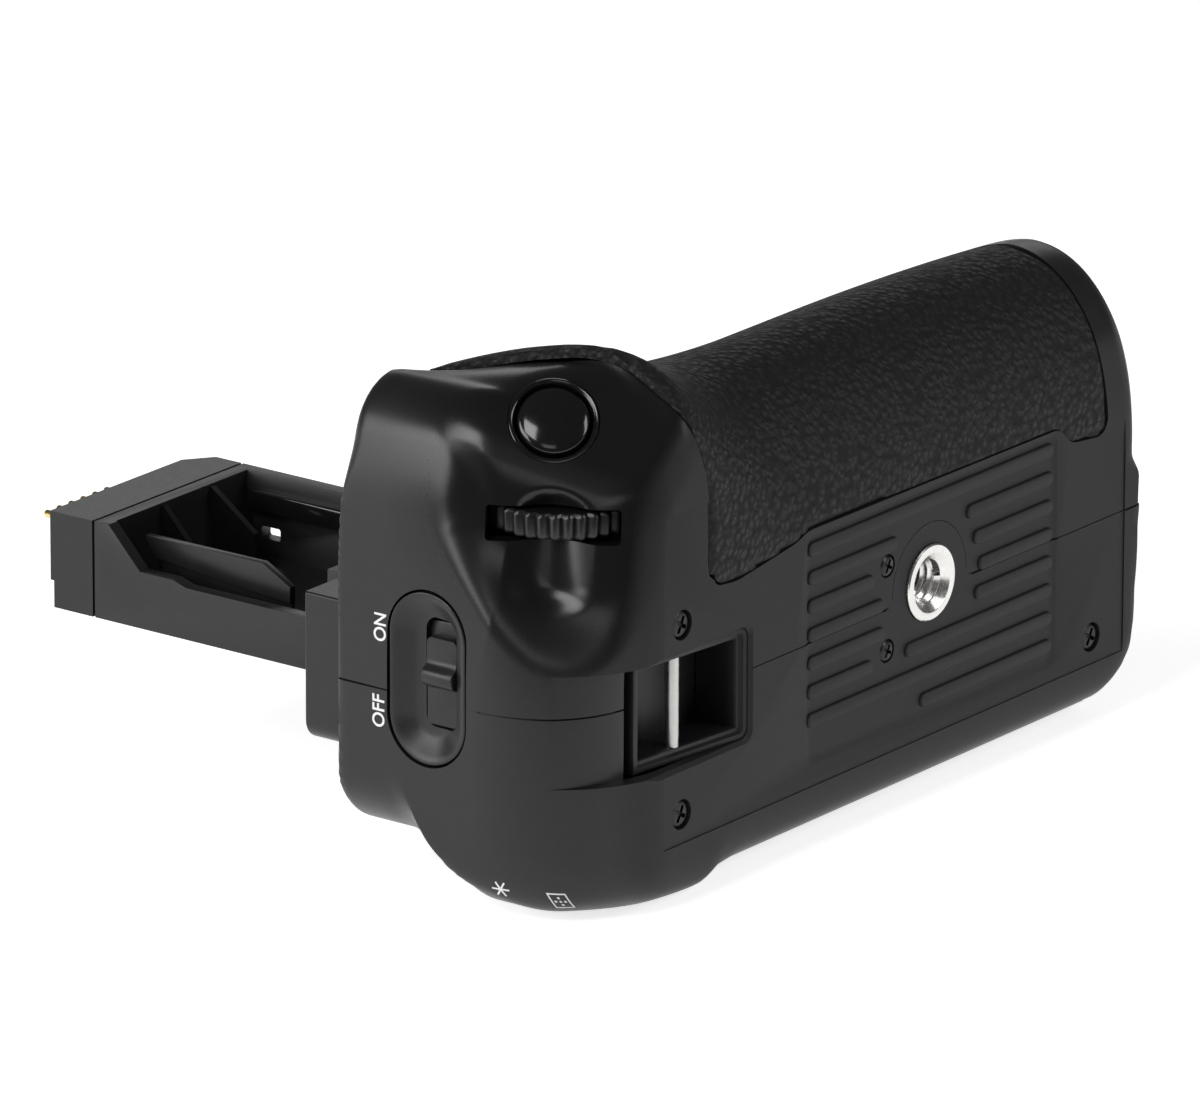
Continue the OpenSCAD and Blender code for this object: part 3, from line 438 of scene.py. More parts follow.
# The hollow of a shell: a coarser skin set in from the outer one, whose rim reaches past the parting plane
def hollow_cutter(field, rows, columns, form, up, inset):
    bm = bmesh.new()
    skin(bm, field, rows, columns, form, up, inset=inset, shut=False)
    for v in bm.verts:
        if abs(v.co.z - form.part_z) < 1e-4:
            v.co.z -= 0.6 * up
    close(bm)
    return to_object(bm, "cut_inside")


# Objects from a bmesh in millimetres
def to_object(bm, name, sharp=35.0):
    bmesh.ops.scale(bm, vec=(MM, MM, MM), verts=bm.verts[:])
    mesh = bpy.data.meshes.new(name)
    bm.to_mesh(mesh)
    bm.free()
    obj = bpy.data.objects.new(name, mesh)
    bpy.context.scene.collection.objects.link(obj)
    shade(obj, sharp)
    return obj


def shade(obj, sharp=35.0):
    obj.data.shade_smooth()
    obj.data.set_sharp_from_angle(angle=math.radians(sharp))


def bake(obj):
    deps = bpy.context.evaluated_depsgraph_get()
    deps.update()
    mesh = bpy.data.meshes.new_from_object(obj.evaluated_get(deps))
    obj.modifiers.clear()
    old = obj.data
    obj.data = mesh
    bpy.data.meshes.remove(old)


# Boolean of one object with a cutter, which is then removed
def carve(obj, cutter, how="DIFFERENCE"):
    mod = obj.modifiers.new("carve", "BOOLEAN")
    mod.operation = how
    mod.solver = "MANIFOLD"
    mod.object = cutter
    bpy.context.view_layer.update()
    bake(obj)
    mesh = cutter.data
    bpy.data.objects.remove(cutter)
    bpy.data.meshes.remove(mesh)
    if not obj.data.polygons:
        raise RuntimeError("nothing is left of " + obj.name)


def bevel(bm, edges, offset, segments, clamp=False):
    bmesh.ops.bevel(bm, geom=edges, offset=offset, affect="EDGES", segments=segments, profile=0.5,
                    clamp_overlap=clamp, material=-1)


# Edges that lie along one axis: 0 for x, 1 for y, 2 for z
def edges_along(bm, axis):
    return [e for e in bm.edges if abs((e.verts[0].co - e.verts[1].co).normalized()[axis]) > 0.9]


# A face drawn out: its new vertices and the new face
def extrude(bm, face, vec=(0, 0, 0)):
    moved = bmesh.ops.extrude_face_region(bm, geom=[face])["geom"]
    verts = [g for g in moved if isinstance(g, bmesh.types.BMVert)]
    bmesh.ops.translate(bm, verts=verts, vec=vec)
    return verts, [g for g in moved if isinstance(g, bmesh.types.BMFace)][0]


# Prism from a flat outline: (y, z) along x, (x, z) along y or (x, y) along z
def prism(outline, axis, low, high, corner=0.0, steps=4):
    bm = bmesh.new()
    place = {"x": lambda a, b: (low, a, b), "y": lambda a, b: (a, low, b), "z": lambda a, b: (a, b, low)}
    face = bm.faces.new([bm.verts.new(place[axis](a, b)) for a, b in outline])
    if corner:
        bmesh.ops.bevel(bm, geom=bm.verts[:], offset=corner, affect="VERTICES", segments=steps, profile=0.5,
                        clamp_overlap=True, material=-1)
        face = bm.faces[:][0]
    extrude(bm, face, Vector({"x": (1, 0, 0), "y": (0, 1, 0), "z": (0, 0, 1)}[axis]) * (high - low))
    bmesh.ops.recalc_face_normals(bm, faces=bm.faces[:])
    return bm


# Solid between two rings of points of the same count
def frustum(first, second):
    bm = bmesh.new()
    loops = []
    for ring in (first, second):
        verts = [bm.verts.new(p) for p in ring]
        loops += [bm.edges.new(p) for p in zip(verts, verts[1:] + verts[:1])]
        bm.faces.new(verts)
    bmesh.ops.bridge_loops(bm, edges=loops)
    bmesh.ops.recalc_face_normals(bm, faces=bm.faces[:])
    return bm


# Oval plate along x: two half rounds of the width w, l long over both
def oval(centre, w, l, low, high, steps=24):
    r = w / 2
    bm = bmesh.new()
    rim = []
    for side in (1, -1):
        mid_z = centre[1] + side * (l - w) / 2
        for k in range(steps + 1):
            a = math.pi * k / steps + (0 if side > 0 else math.pi)
            rim.append(bm.verts.new((low, centre[0] + r * math.cos(a), mid_z + r * math.sin(a))))
    extrude(bm, bm.faces.new(rim), (high - low, 0, 0))
    bmesh.ops.recalc_face_normals(bm, faces=bm.faces[:])
    return bm


def block(bm, low, high, soft=0.0):
    low, high = Vector(low), Vector(high)
    place = Matrix.Translation((low + high) / 2) @ Matrix.Diagonal((*(high - low), 1))
    verts = bmesh.ops.create_cube(bm, size=1, matrix=place)["verts"]
    if soft:
        bevel(bm, list({e for v in verts for e in v.link_edges}), soft, 2, clamp=True)
    return bm


# Round posts: along z about a point, and along y between two heights
def post(at, r, depth, steps=48):
    bm = bmesh.new()
    bmesh.ops.create_cone(bm, cap_ends=True, segments=steps, radius1=r, radius2=r, depth=depth,
                          matrix=Matrix.Translation(at))
    return bm


def rod(at, low, high, r, steps=48):
    turn = Matrix.Rotation(math.pi / 2, 4, "X")
    mid = Matrix.Translation((at[0], (low + high) / 2, at[1]))
    return move(post((0, 0, 0), r, high - low, steps), mid @ turn)


# Turned piece: a profile of radius and height, spun about Z, closed on itself where shut is set
def turned(profile, steps, shut=False):
    bm = bmesh.new()
    verts = [bm.verts.new((r, 0, h)) for r, h in profile]
    pairs = list(zip(verts, verts[1:] + verts[:1])) if shut else list(zip(verts, verts[1:]))
    edges = [bm.edges.new(p) for p in pairs]
    bmesh.ops.spin(bm, geom=verts + edges, cent=(0, 0, 0), axis=(0, 0, 1), angle=2 * math.pi, steps=steps,
                   use_merge=True, use_duplicate=False)
    bmesh.ops.remove_doubles(bm, verts=bm.verts[:], dist=0.0005)
    bmesh.ops.recalc_face_normals(bm, faces=bm.faces[:])
    return bm


# Thread: a profile spun about Z while it climbs
def thread(bm, profile, pitch, turns, steps=40):
    verts = [bm.verts.new((r, 0, h)) for r, h in profile]
    edges = [bm.edges.new(p) for p in zip(verts, verts[1:])]
    count = int(steps * turns)
    bmesh.ops.spin(bm, geom=verts + edges, cent=(0, 0, 0), axis=(0, 0, 1), dvec=(0, 0, pitch / steps),
                   angle=2 * math.pi * turns, steps=count, use_merge=False, use_duplicate=False)
    return bm


def move(bm, matrix):
    bmesh.ops.transform(bm, matrix=matrix, verts=bm.verts[:])
    return bm


# One bmesh added to another
def gather(into, bm):
    mesh = bpy.data.meshes.new("piece")
    bm.to_mesh(mesh)
    bm.free()
    into.from_mesh(mesh)
    bpy.data.meshes.remove(mesh)


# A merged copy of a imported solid, in millimetres
def solid_copy(node, merge_flats=False):
    bm = bmesh.new()
    bm.from_mesh(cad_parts[node].data)
    bmesh.ops.remove_doubles(bm, verts=bm.verts[:], dist=WELD)
    if merge_flats:
        bmesh.ops.dissolve_limit(bm, angle_limit=0.01, verts=bm.verts[:], edges=bm.edges[:])
    bmesh.ops.scale(bm, vec=(1 / MM, 1 / MM, 1 / MM), verts=bm.verts[:])
    bmesh.ops.recalc_face_normals(bm, faces=bm.faces[:])
    return bm


# Bevel of the sharp edges, as a modifier
def soften(obj, width):
    soft = obj.modifiers.new("soft", "BEVEL")
    soft.width = width * MM
    soft.segments = 3
    soft.limit_method = "ANGLE"
    soft.angle_limit = math.radians(40)


# Frames of the pieces that don't lie along the axes
def button_frame(form):
    turn, tilt = (math.radians(a) for a in BUTTON_TURN)
    lean = Matrix.Rotation(turn, 4, "Z") @ Matrix.Rotation(tilt, 4, "Y")
    return Matrix.Translation(Vector(form.button_c)) @ lean


def dial_frame(form):
    turn = Matrix.Rotation(math.atan2(form.dial_n[1], form.dial_n[0]), 4, "Z")
    return Matrix.Translation((form.dial_o[0], form.dial_o[1], 0)) @ turn


# Outline of the strap lug, rounded on the side of the tripod face
def lug_outline(grow, r):
    x0, x1 = LUG_X[0] - grow, LUG_X[1] + grow
    z0, z1 = LUG_Z[0] - grow, LUG_Z[1] + grow
    low = [(x1 - r + r * math.sin(a), z0 + r - r * math.cos(a)) for a in np.linspace(0, math.pi / 2, 9)]
    high = [(x1 - r + r * math.cos(a), z1 - r + r * math.sin(a)) for a in np.linspace(0, math.pi / 2, 9)]
    return [(x0, z0)] + low + high + [(x0, z1)]


# Channel from the end face to the lug: an arc set in from the corner
def channel_outline(form, deeper=0.0):
    r = form.end_x + LUG_X[0] + 0.2
    c = (LUG_X[0], 3.4 + r)
    r = r - deeper
    arc = [(c[0] - r * math.sin(a), c[1] - r * math.cos(a)) for a in np.linspace(0, math.pi / 2, 33)]
    return arc + [(-form.end_x - 5, c[1]), (-form.end_x - 5, -6), (c[0], -6)]


# Cuts that both shells share, 0 for the front one and 1 for the rear one
def shared_cutters(form, which):
    yield to_object(block(bmesh.new(), *FLAT), "cut_flat")
    fitted = lug_outline(LUG_GAP, LUG_R + LUG_GAP)
    yield to_object(prism(fitted, "y", -6, 9.85), "cut_lug")
    wide = [(x, -1.3, z) for x, z in lug_outline(2.2, 2.6)]
    yield to_object(frustum(wide, [(x, 0.7, z) for x, z in fitted]), "cut_rim")
    yield to_object(prism(channel_outline(form), "z", LUG_Z[0] - LUG_GAP, LUG_Z[1] + LUG_GAP), "cut_channel")
    groove = channel_outline(form, form.seam)
    yield to_object(prism(groove, "z", form.part_z - SEAM_HALF, form.part_z + SEAM_HALF), "cut_seam")
    plate_w, plate_l = (size + 2 * PLATE_GAP for size in PLATE_SIZE)
    yield to_object(oval(PLATE_AT, plate_w, plate_l, -form.end_x - 5, 4 - form.end_x), "cut_plate")
    yield to_object(block(bmesh.new(), (-29.05, 39.3, -17.05), (29.05, 50, 12.05)), "cut_mount")
    for at in (CASE_AT[:1], CASE_AT[1:])[which]:
        yield to_object(rod(at, -5, 1.35, 2.15), "cut_case")
    yield to_object(rod(BUSH_AT[which], -5, 1.3, 1.7), "cut_bush_screw")


# Foot of the tongue that carries the tripod socket: a disc on a stem with fillets
def tongue_outline(form, grow):
    r = 8.6 + grow
    base = form.part_z - 2
    foot = 1.4 - grow
    top = [(r * math.cos(a), r * math.sin(a)) for a in np.linspace(0, math.pi, 41)]
    left = [(-r - foot + foot * math.cos(a), form.part_z + foot - foot * math.sin(a) - grow)
            for a in np.linspace(0, math.pi / 2, 9)]
    right = [(-x, z) for x, z in reversed(left)]
    return top + left + [(-r - foot, base), (r + foot, base)] + right


# Material and body of a finished piece, and the nodes that it stands for, which are hidden
def finish_piece(obj, body, slot_name, material_name, *nodes):
    obj.data.materials.clear()
    obj.data.materials.append(bpy.data.materials[material_name])
    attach(obj, body)
    if nodes:
        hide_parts(*nodes)


# Outline of the rubber by (x, z), its lean, and the rounding and the setback of its edge
RUBBER_LEAN = 0.128
RUBBER_ZONE = ((-54.2, 60), (-54.1, 40), (-53.9, 37), (-53.1, 33.6), (-52.2, 30.4), (-51.6, 26.5),
               (-51.4, 21), (-51.3, 15.5), (-49.6, 12.8), (-45.0, 12.3), (-38.0, 13.2), (-31.0, 14.2),
               (-28.5, 15.2), (30, 14.8), (33, 12), (40.1, 11.2), (41.8, 12.6), (41.8, 60))
RUBBER_MID_X = -8
RUBBER_LIP = 1.1
RUBBER_BACK = 0.6


# Prism of the rubber's outline: its upright edge at the shutter end leans with the height
def zone_prism(grow, high):
    bm = prism(RUBBER_ZONE, "y", -10, high)
    for v in bm.verts:
        v.co.x += math.copysign(grow, v.co.x - RUBBER_MID_X)
        if v.co.x < -40 and v.co.z > 14:
            v.co.x -= RUBBER_LEAN * v.co.y
        if v.co.z < 20:
            v.co.z -= grow
    bevel(bm, edges_along(bm, 1), RUBBER_LIP, 5, clamp=True)
    bmesh.ops.recalc_face_normals(bm, faces=bm.faces[:])
    return bm


class GRIP_OT_front_shell(bpy.types.Operator):
    """Front half of the housing with the finger rest"""
    bl_idname = "grip.front_shell"
    bl_label = "Front shell"

    def execute(self, context):
        form = Form()
        bm = bmesh.new()
        skin(bm, form.front, (120, 130, 26), 200, form, 1, seam=form.seam)
        shell = to_object(bm, "front_housing", 30)
        carve(shell, hollow_cutter(form.front, (26, 22, 8), 40, form, 1, form.wall))
        carve(shell, to_object(zone_prism(0.28, form.grip_h - 0.35), "cut_zone"))
        for cutter in shared_cutters(form, 0):
            carve(shell, cutter)
        carve(shell, to_object(prism(tongue_outline(form, 0.09), "y", -4, 6), "cut_tongue"))
        well = post((0, 0, 0), 6.25, 24, 96)
        carve(shell, to_object(move(well, button_frame(form)), "cut_button"))
        slot = block(bmesh.new(), (-9, -9.2, DIAL_AT[2] - 2.4), (8, 9.2, DIAL_AT[2] + 2.4))
        bevel(slot, edges_along(slot, 0), 0.55, 4)
        carve(shell, to_object(move(slot, dial_frame(form)), "cut_slot"))
        shade(shell, 32)
        finish_piece(shell, "grip", "shell", "satin_shell", "front_shell")
        return {"FINISHED"}


class GRIP_OT_rear_shell(bpy.types.Operator):
    """Rear half of the housing with the thumb rest and the tongue of the tripod socket"""
    bl_idname = "grip.rear_shell"
    bl_label = "Rear shell"

    def execute(self, context):
        form = Form()
        bm = bmesh.new()
        skin(bm, form.rear, (70, 120, 30), 190, form, -1, seam=form.seam)
        shell = to_object(bm, "rear_housing", 30)
        inside = hollow_cutter(form.rear, (24, 20, 8), 36, form, -1, form.wall)
        carve(inside, to_object(block(bmesh.new(), (-49, -5, -40), (60, 33, -25.7)), "keep_ledge"))
        carve(shell, inside)
        tongue = prism(tongue_outline(form, 0.0), "y", PAD_DEEP, form.wall + 0.3)
        carve(shell, to_object(tongue, "add_tongue"), "UNION")
        for cutter in shared_cutters(form, 1):
            carve(shell, cutter)
        door_low = (DOOR_X[0] - DOOR_GAP, DOOR_Y[0] - DOOR_GAP, -60)
        door_high = (DOOR_X[1] + DOOR_GAP, DOOR_Y[1] + DOOR_GAP, -27.9)
        carve(shell, to_object(block(bmesh.new(), door_low, door_high), "cut_door"))
        carve(shell, to_object(block(bmesh.new(), (-31, 11.1, -60), (42, 27.9, -20)), "cut_drawer"))
        carve(shell, to_object(post((*LATCH_AT, -25), 3.4, 30), "cut_latch"))
        carve(shell, to_object(block(bmesh.new(), (-41, 11.4, -40), (-36.2, 23.4, -10)), "cut_key"))
        carve(shell, to_object(block(bmesh.new(), (-13.2, 33.1, -40), (13.2, 39.7, -15)), "cut_wheel"))
        for y in THUMB_Y.values():
            carve(shell, to_object(post((THUMB_X, y, -30), 3.2, 20), "cut_thumb"))
        carve(shell, to_object(rod((0, 0), -3, 0.95, 5.56, 96), "cut_flange"))
        carve(shell, to_object(rod((0, 0), -3, 12, 4.66, 96), "cut_bush"))
        shade(shell, 32)
        finish_piece(shell, "grip", "shell", "satin_shell", "rear_shell")
        return {"FINISHED"}


class GRIP_OT_rubber(bpy.types.Operator):
    """Leather-grained rubber on the hand grip, its edge rolled over"""
    bl_idname = "grip.rubber"
    bl_label = "Rubber"

    def execute(self, context):
        form = Form()

        def cover(p):
            return form.front(p, True)

        def rolled(p):
            x, y, z = p[..., 0], p[..., 1], p[..., 2]
            best = form.grip_h - RUBBER_BACK - y
            x = x + np.where((x < -40) & (z > 14), RUBBER_LEAN * y, 0)
            for (ax, az), (bx, bz) in zip(RUBBER_ZONE, RUBBER_ZONE[1:]):
                ex, ez = bx - ax, bz - az
                t = np.clip(((x - ax) * ex + (z - az) * ez) / (ex * ex + ez * ez), 0, 1)
                best = np.minimum(best, np.hypot(x - ax - t * ex, z - az - t * ez))
            lip = np.clip(RUBBER_LIP - best, 0, RUBBER_LIP)
            return cover(p) + 0.75 * arc_drop(RUBBER_LIP, lip)
        bm = bmesh.new()
        skin(bm, rolled, (50, 110, 30), 170, form, 1, ends=(-48.0, 38.0))
        rubber = to_object(bm, "grip_rubber", 40)
        carve(rubber, to_object(zone_prism(0.0, form.grip_h - RUBBER_BACK), "keep_zone"), "INTERSECT")
        carve(rubber, hollow_cutter(cover, (26, 30, 10), 48, form, 1, 1.5))
        shade(rubber, 42)
        finish_piece(rubber, "grip", "rubber", "leather_rubber", "front_rubber")
        return {"FINISHED"}


class GRIP_OT_tripod_pad(bpy.types.Operator):
    """Raised ribs in the recessed panel of the tripod face"""
    bl_idname = "grip.tripod_pad"
    bl_label = "Tripod ribs"

    def execute(self, context):
        ends = (-28.6, 28.9)
        rows = ((ends,), ((ends[0], -7.9), (8.5, ends[1])), ((ends[0], -13.4), (10.1, ends[1])),
                ((ends[0], -11.0), (11.4, ends[1])), ((ends[0], -10.8), (10.6, ends[1])),
                ((ends[0], -13.6), (-5.8, ends[1])), (ends,), ((-2.2, ends[1]),))
        top_z, pitch, half = 11.97, 4.105, 1.02
        ribs = bmesh.new()
        for k, row in enumerate(rows):
            z = top_z - pitch * k
            for x0, x1 in row:
                rib = block(bmesh.new(), (x0, 0.06, z - half), (x1, 0.75, z + half))
                bevel(rib, edges_along(rib, 1), 0.9, 5)
                bevel(rib, [e for e in rib.edges if max(v.co.y for v in e.verts) < 0.1], 0.3, 3)
                gather(ribs, rib)
        finish_piece(to_object(ribs, "tripod_ribs", 40), "grip", "shell", "satin_shell")
        return {"FINISHED"}


class GRIP_OT_door(bpy.types.Operator):
    """Door of the battery drawer, cut from the skin of the rear shell"""
    bl_idname = "grip.door"
    bl_label = "Drawer door"

    def execute(self, context):
        form = Form()
        edge_r = 0.9

        def field(p):
            x, y = p[..., 0], p[..., 1]
            from_x = np.minimum(x - DOOR_X[0], DOOR_X[1] - x)
            from_y = np.minimum(y - DOOR_Y[0], DOOR_Y[1] - y)
            lip = np.clip(edge_r - np.minimum(from_x, from_y), 0, edge_r)
            return form.rear(p) + arc_drop(edge_r, lip)
        bm = bmesh.new()
        skin(bm, field, (60, 100, 40), 200, form, -1)
        door = to_object(bm, "door_skin", 30)
        keep = block(bmesh.new(), (DOOR_X[0], DOOR_Y[0], -60), (DOOR_X[1], DOOR_Y[1], -28.0))
        bevel(keep, edges_along(keep, 2), 1.0, 4)
        carve(door, to_object(keep, "keep_door"), "INTERSECT")
        carve(door, to_object(post((*LATCH_AT, -30), 6.55, 30, 72), "cut_latch"))
        shade(door, 32)
        finish_piece(door, "drawer", "shell", "satin_shell", "drawer_door")
        return {"FINISHED"}


# Ribbed ring of the dial: rings of points drawn in between the ribs
def dial_ring(r, t, ribs, per_rib=10, groove=0.62):
    levels = ((r - 0.42, 0.0), (r - 0.06, 0.32), (r, 0.6), (r, t - 0.6), (r - 0.06, t - 0.32), (r - 0.42, t))
    bm = bmesh.new()
    base = bmesh.ops.create_circle(bm, cap_ends=True, cap_tris=False, segments=ribs * per_rib,
                                   radius=levels[0][0])["verts"]
    cap = bm.faces[:][0]
    rings = [base]
    for _ in levels[1:]:
        fresh, lid = extrude(bm, cap)
        if len(rings) > 1:
            bmesh.ops.delete(bm, geom=[cap], context="FACES_ONLY")
        cap = lid
        rings.append(fresh)
    for (radius, h), ring in zip(levels, rings):
        for v in ring:
            a = math.atan2(v.co.y, v.co.x)
            wave = 0.5 + 0.5 * math.cos(ribs * a)
            dip = groove * (1 - wave ** 0.6)
            v.co.x = (radius - dip) * math.cos(a)
            v.co.y = (radius - dip) * math.sin(a)
            v.co.z = h
    bmesh.ops.recalc_face_normals(bm, faces=bm.faces[:])
    return bm


class GRIP_OT_controls(bpy.types.Operator):
    """Shutter button and its ring, command dial, power switch and its dished plate, thumb buttons"""
    bl_idname = "grip.controls"
    bl_label = "Controls"

    def execute(self, context):
        form = Form()
        rest = context.scene.grip_rest
        r = rest.button_r / MM
        top = button_frame(form)
        ring = turned(((5.2, -2.2), (6.18, -2.2), (6.18, -0.12), (6.0, 0.06), (5.72, 0.02), (5.42, -0.25),
                       (5.26, -0.7)), 96, True)
        finish_piece(to_object(move(ring, top), "button_ring", 40), "grip", "gloss", "gloss_black",
                     "shutter_bezel")
        dome = ((0, 0.92), (1.2, 0.89), (2.3, 0.79), (3.2, 0.63), (3.9, 0.44), (4.4, 0.24), (4.72, 0.0),
                (r - 0.06, -0.3), (r, -0.7), (r, -2.3), (1.8, -2.3), (1.8, -5.95), (0, -5.95))
        button = turned(dome, 96)
        finish_piece(to_object(move(button, top), "button_dome", 45), "shutter", "gloss", "gloss_black",
                     "shutter_button")
        middle = Vector(DIAL_AT) - Vector((form.end_x, 0, 0))
        dial = dial_ring(rest.dial_r / MM, DIAL_THICK, rest.ribs)
        move(dial, Matrix.Translation(middle - Vector((0, 0, DIAL_THICK / 2))))
        obj = to_object(dial, "ribbed_dial", 40)
        carve(obj, to_object(post(middle, 1.56, 20), "cut_axle"))
        shade(obj, 40)
        finish_piece(obj, "dial", "shell", "dial_plastic", "main_dial")
        self.switch(form)
        for body, y in THUMB_Y.items():
            node = body + "_button"
            low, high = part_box(node)
            deep = (high.z - low.z) / MM
            cap = ((0, deep), (1.6, deep - 0.05), (2.4, deep - 0.22), (2.82, deep - 0.5), (3.0, deep - 0.9),
                   (3.0, 0.6), (2.4, 0.6), (2.4, 0.0), (0, 0.0))
            flip = Matrix.Translation((THUMB_X, y, high.z / MM)) @ Matrix.Rotation(math.pi, 4, "X")
            finish_piece(to_object(move(turned(cap, 64), flip), node + "_cap", 45), body, "gloss",
                         "gloss_black", node)
        return {"FINISHED"}

    # Dished plate and the sliding tab, whose side view has a thumb ridge
    def switch(self, form):
        face = -form.end_x + 0.25
        plate = oval(PLATE_AT, *PLATE_SIZE, face + 2.3, face)
        out = min(plate.faces, key=lambda f: f.calc_center_median().x)
        dish = ((0.1, -0.08), (0.14, 0.0), (0.4, 0.12), (0.6, 0.32), (0.8, 0.46), (1.0, 0.5), (0.8, 0.3))
        for thick, deep in dish:
            bmesh.ops.inset_region(plate, faces=[out], thickness=thick, depth=0.0, use_even_offset=True)
            bmesh.ops.translate(plate, verts=out.verts[:], vec=(deep, 0, 0))
        obj = to_object(plate, "dished_plate", 40)
        low_y, high_y = TAB_Y[0] - 0.25, TAB_Y[1] + 0.25
        slot = prism([(low_y, -5.7), (high_y, -5.7), (high_y, 9.9), (low_y, 9.9)], "x", face - 3, face + 6,
                     1.8, 8)
        carve(obj, to_object(slot, "cut_slot"))
        shade(obj, 40)
        finish_piece(obj, "grip", "shell", "satin_shell", "switch_plate")
        back = 3.0 - form.end_x
        near = 1.45 - form.end_x
        side = ((back, TAB_Z[1]), (near + 0.2, TAB_Z[1]), (near + 0.05, 7.05), (near, 4.2),
                (near - 0.05, 3.6), (near - 0.35, 3.15), (near - 0.95, 2.85), (near - 1.25, 2.4),
                (near - 1.33, 1.75), (near - 1.25, 1.1), (near - 0.95, 0.6), (near - 0.4, 0.3),
                (near + 0.1, 0.1), (near + 0.15, -0.4), (near + 0.15, -5.2), (near + 0.3, TAB_Z[0]),
                (back, TAB_Z[0]))
        tab = prism(side, "y", *TAB_Y)
        bevel(tab, [e for e in tab.edges if e.calc_face_angle(0) > 0.9], 0.3, 3, clamp=True)
        obj = to_object(tab, "switch_tab", 40)
        corners = [(TAB_Y[0], TAB_Z[0]), (TAB_Y[1], TAB_Z[0]), (TAB_Y[1], TAB_Z[1]), (TAB_Y[0], TAB_Z[1])]
        carve(obj, to_object(prism(corners, "x", -90, -70, 1.35, 8), "keep_tab"), "INTERSECT")
        low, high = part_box("power_switch")
        guide_low = (2.8 - form.end_x, 22.3, low.z / MM)
        guide_high = (3.8 - form.end_x, 28.9, high.z / MM)
        carve(obj, to_object(block(bmesh.new(), guide_low, guide_high, 0.2), "add_guide"), "UNION")
        shade(obj, 40)
        finish_piece(obj, "power", "shell", "satin_shell", "power_switch")


# Turn that lays a turned piece's axis along y, into the grip
INWARD = Matrix.Rotation(-math.pi / 2, 4, "X")


# Cross-head screw, head towards the tripod face
def cross_screw(at, y, head_r, head_h, shank_r, length):
    place = Matrix.Translation((at[0], y, at[1]))
    bm = turned(((0, 0.0), (head_r * 0.7, 0.03), (head_r - 0.2, 0.14), (head_r, 0.34), (head_r, head_h),
                 (shank_r, head_h), (shank_r, length), (0, length)), 56)
    obj = to_object(move(bm, place @ INWARD), "screw", 40)
    arm, half, deep = head_r * 0.66, head_r * 0.15, head_h * 0.7
    for turn in (0.5, 0.5 + math.pi / 2):
        bar = block(bmesh.new(), (-arm, -1, -half), (arm, deep, half), 0.06)
        move(bar, place @ Matrix.Rotation(turn, 4, "Y"))
        carve(obj, to_object(bar, "cut_cross"))
    return obj


# Objects made one mesh
def joined(objs, name):
    bm = bmesh.new()
    for obj in objs:
        bm.from_mesh(obj.data)
        mesh = obj.data
        bpy.data.objects.remove(obj)
        bpy.data.meshes.remove(mesh)
    bmesh.ops.scale(bm, vec=(1 / MM, 1 / MM, 1 / MM), verts=bm.verts[:])
    return to_object(bm, name, 40)


class GRIP_OT_tripod_socket(bpy.types.Operator):
    """Threaded bush of the tripod socket and the screws of the tripod face"""
    bl_idname = "grip.tripod_socket"
    bl_label = "Tripod socket"

    def execute(self, context):
        bush = turned(((5.5, 0.9), (5.5, 0.2), (5.3, 0.0), (4.35, 0.0), (4.2, 0.07), (3.22, 1.02),
                       (3.22, 7.4), (4.6, 7.4), (4.6, 0.9)), 96, True)
        thread(bush, ((3.3, 0.95), (2.66, 1.52), (2.66, 1.68), (3.3, 2.2)), PITCH, 4.0)
        finish_piece(to_object(move(bush, INWARD), "threaded_bush", 35), "grip", "steel", "turned_steel",
                     "tripod_bush")
        small = [cross_screw(at, 0.35, 1.5, 0.85, 0.8, 3.2) for at in BUSH_AT]
        finish_piece(joined(small, "socket_screws"), "grip", "dark_steel", "dark_screw", "bush_screws")
        large = [cross_screw(at, 0.4, 1.95, 0.9, 1.15, 5.4) for at in CASE_AT]
        finish_piece(joined(large, "housing_screws"), "grip", "dark_steel", "dark_screw", "case_screws")
        return {"FINISHED"}


class GRIP_OT_lug(bpy.types.Operator):
    """Strap lug: frame with a double lip and a bright bar"""
    bl_idname = "grip.lug"
    bl_label = "Strap lug"

    def execute(self, context):
        bm = prism(lug_outline(0.0, LUG_R), "y", -1, 9.55)
        bmesh.ops.bisect_plane(bm, geom=bm.verts[:] + bm.edges[:] + bm.faces[:], plane_co=(LUG_X[0], 3.2, 0),
                               plane_no=(-0.1065, -0.9943, 0), clear_outer=True)
        close(bm)
        out = min(bm.faces, key=lambda f: f.calc_center_median().y if len(f.verts) > 8 else 99)
        for thick, deep in ((0.7, 0.0), (0.25, -0.6), (0.5, 0.0), (0.2, -0.4)):
            bmesh.ops.inset_region(bm, faces=[out], thickness=thick, depth=deep, use_even_offset=True)
        floor = extrude(bm, out)[0]
        bmesh.ops.delete(bm, geom=[out], context="FACES_ONLY")
        for v in floor:
            v.co.y = 8.4
        bmesh.ops.recalc_face_normals(bm, faces=bm.faces[:])
        edges = [e for e in bm.edges if len(e.link_faces) == 2 and e.calc_face_angle(0) > 0.5
                 and max(v.co.y for v in e.verts) < 8]
        bevel(bm, edges, 0.14, 2, clamp=True)
        finish_piece(to_object(bm, "lug_surround", 40), "grip", "shell", "satin_shell", "lug_frame")
        low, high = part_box("strap_bar")
        half = (high.z - low.z) / 2 / MM
        bar = turned(((0, -half), (0.8, -half), (1.0, 0.2 - half), (1.0, half - 0.2), (0.8, half),
                      (0, half)), 48)
        mid = (low + high) / 2 / MM
        finish_piece(to_object(move(bar, Matrix.Translation(mid)), "bright_bar", 40), "grip", "steel",
                     "bright_steel", "strap_bar")
        return {"FINISHED"}


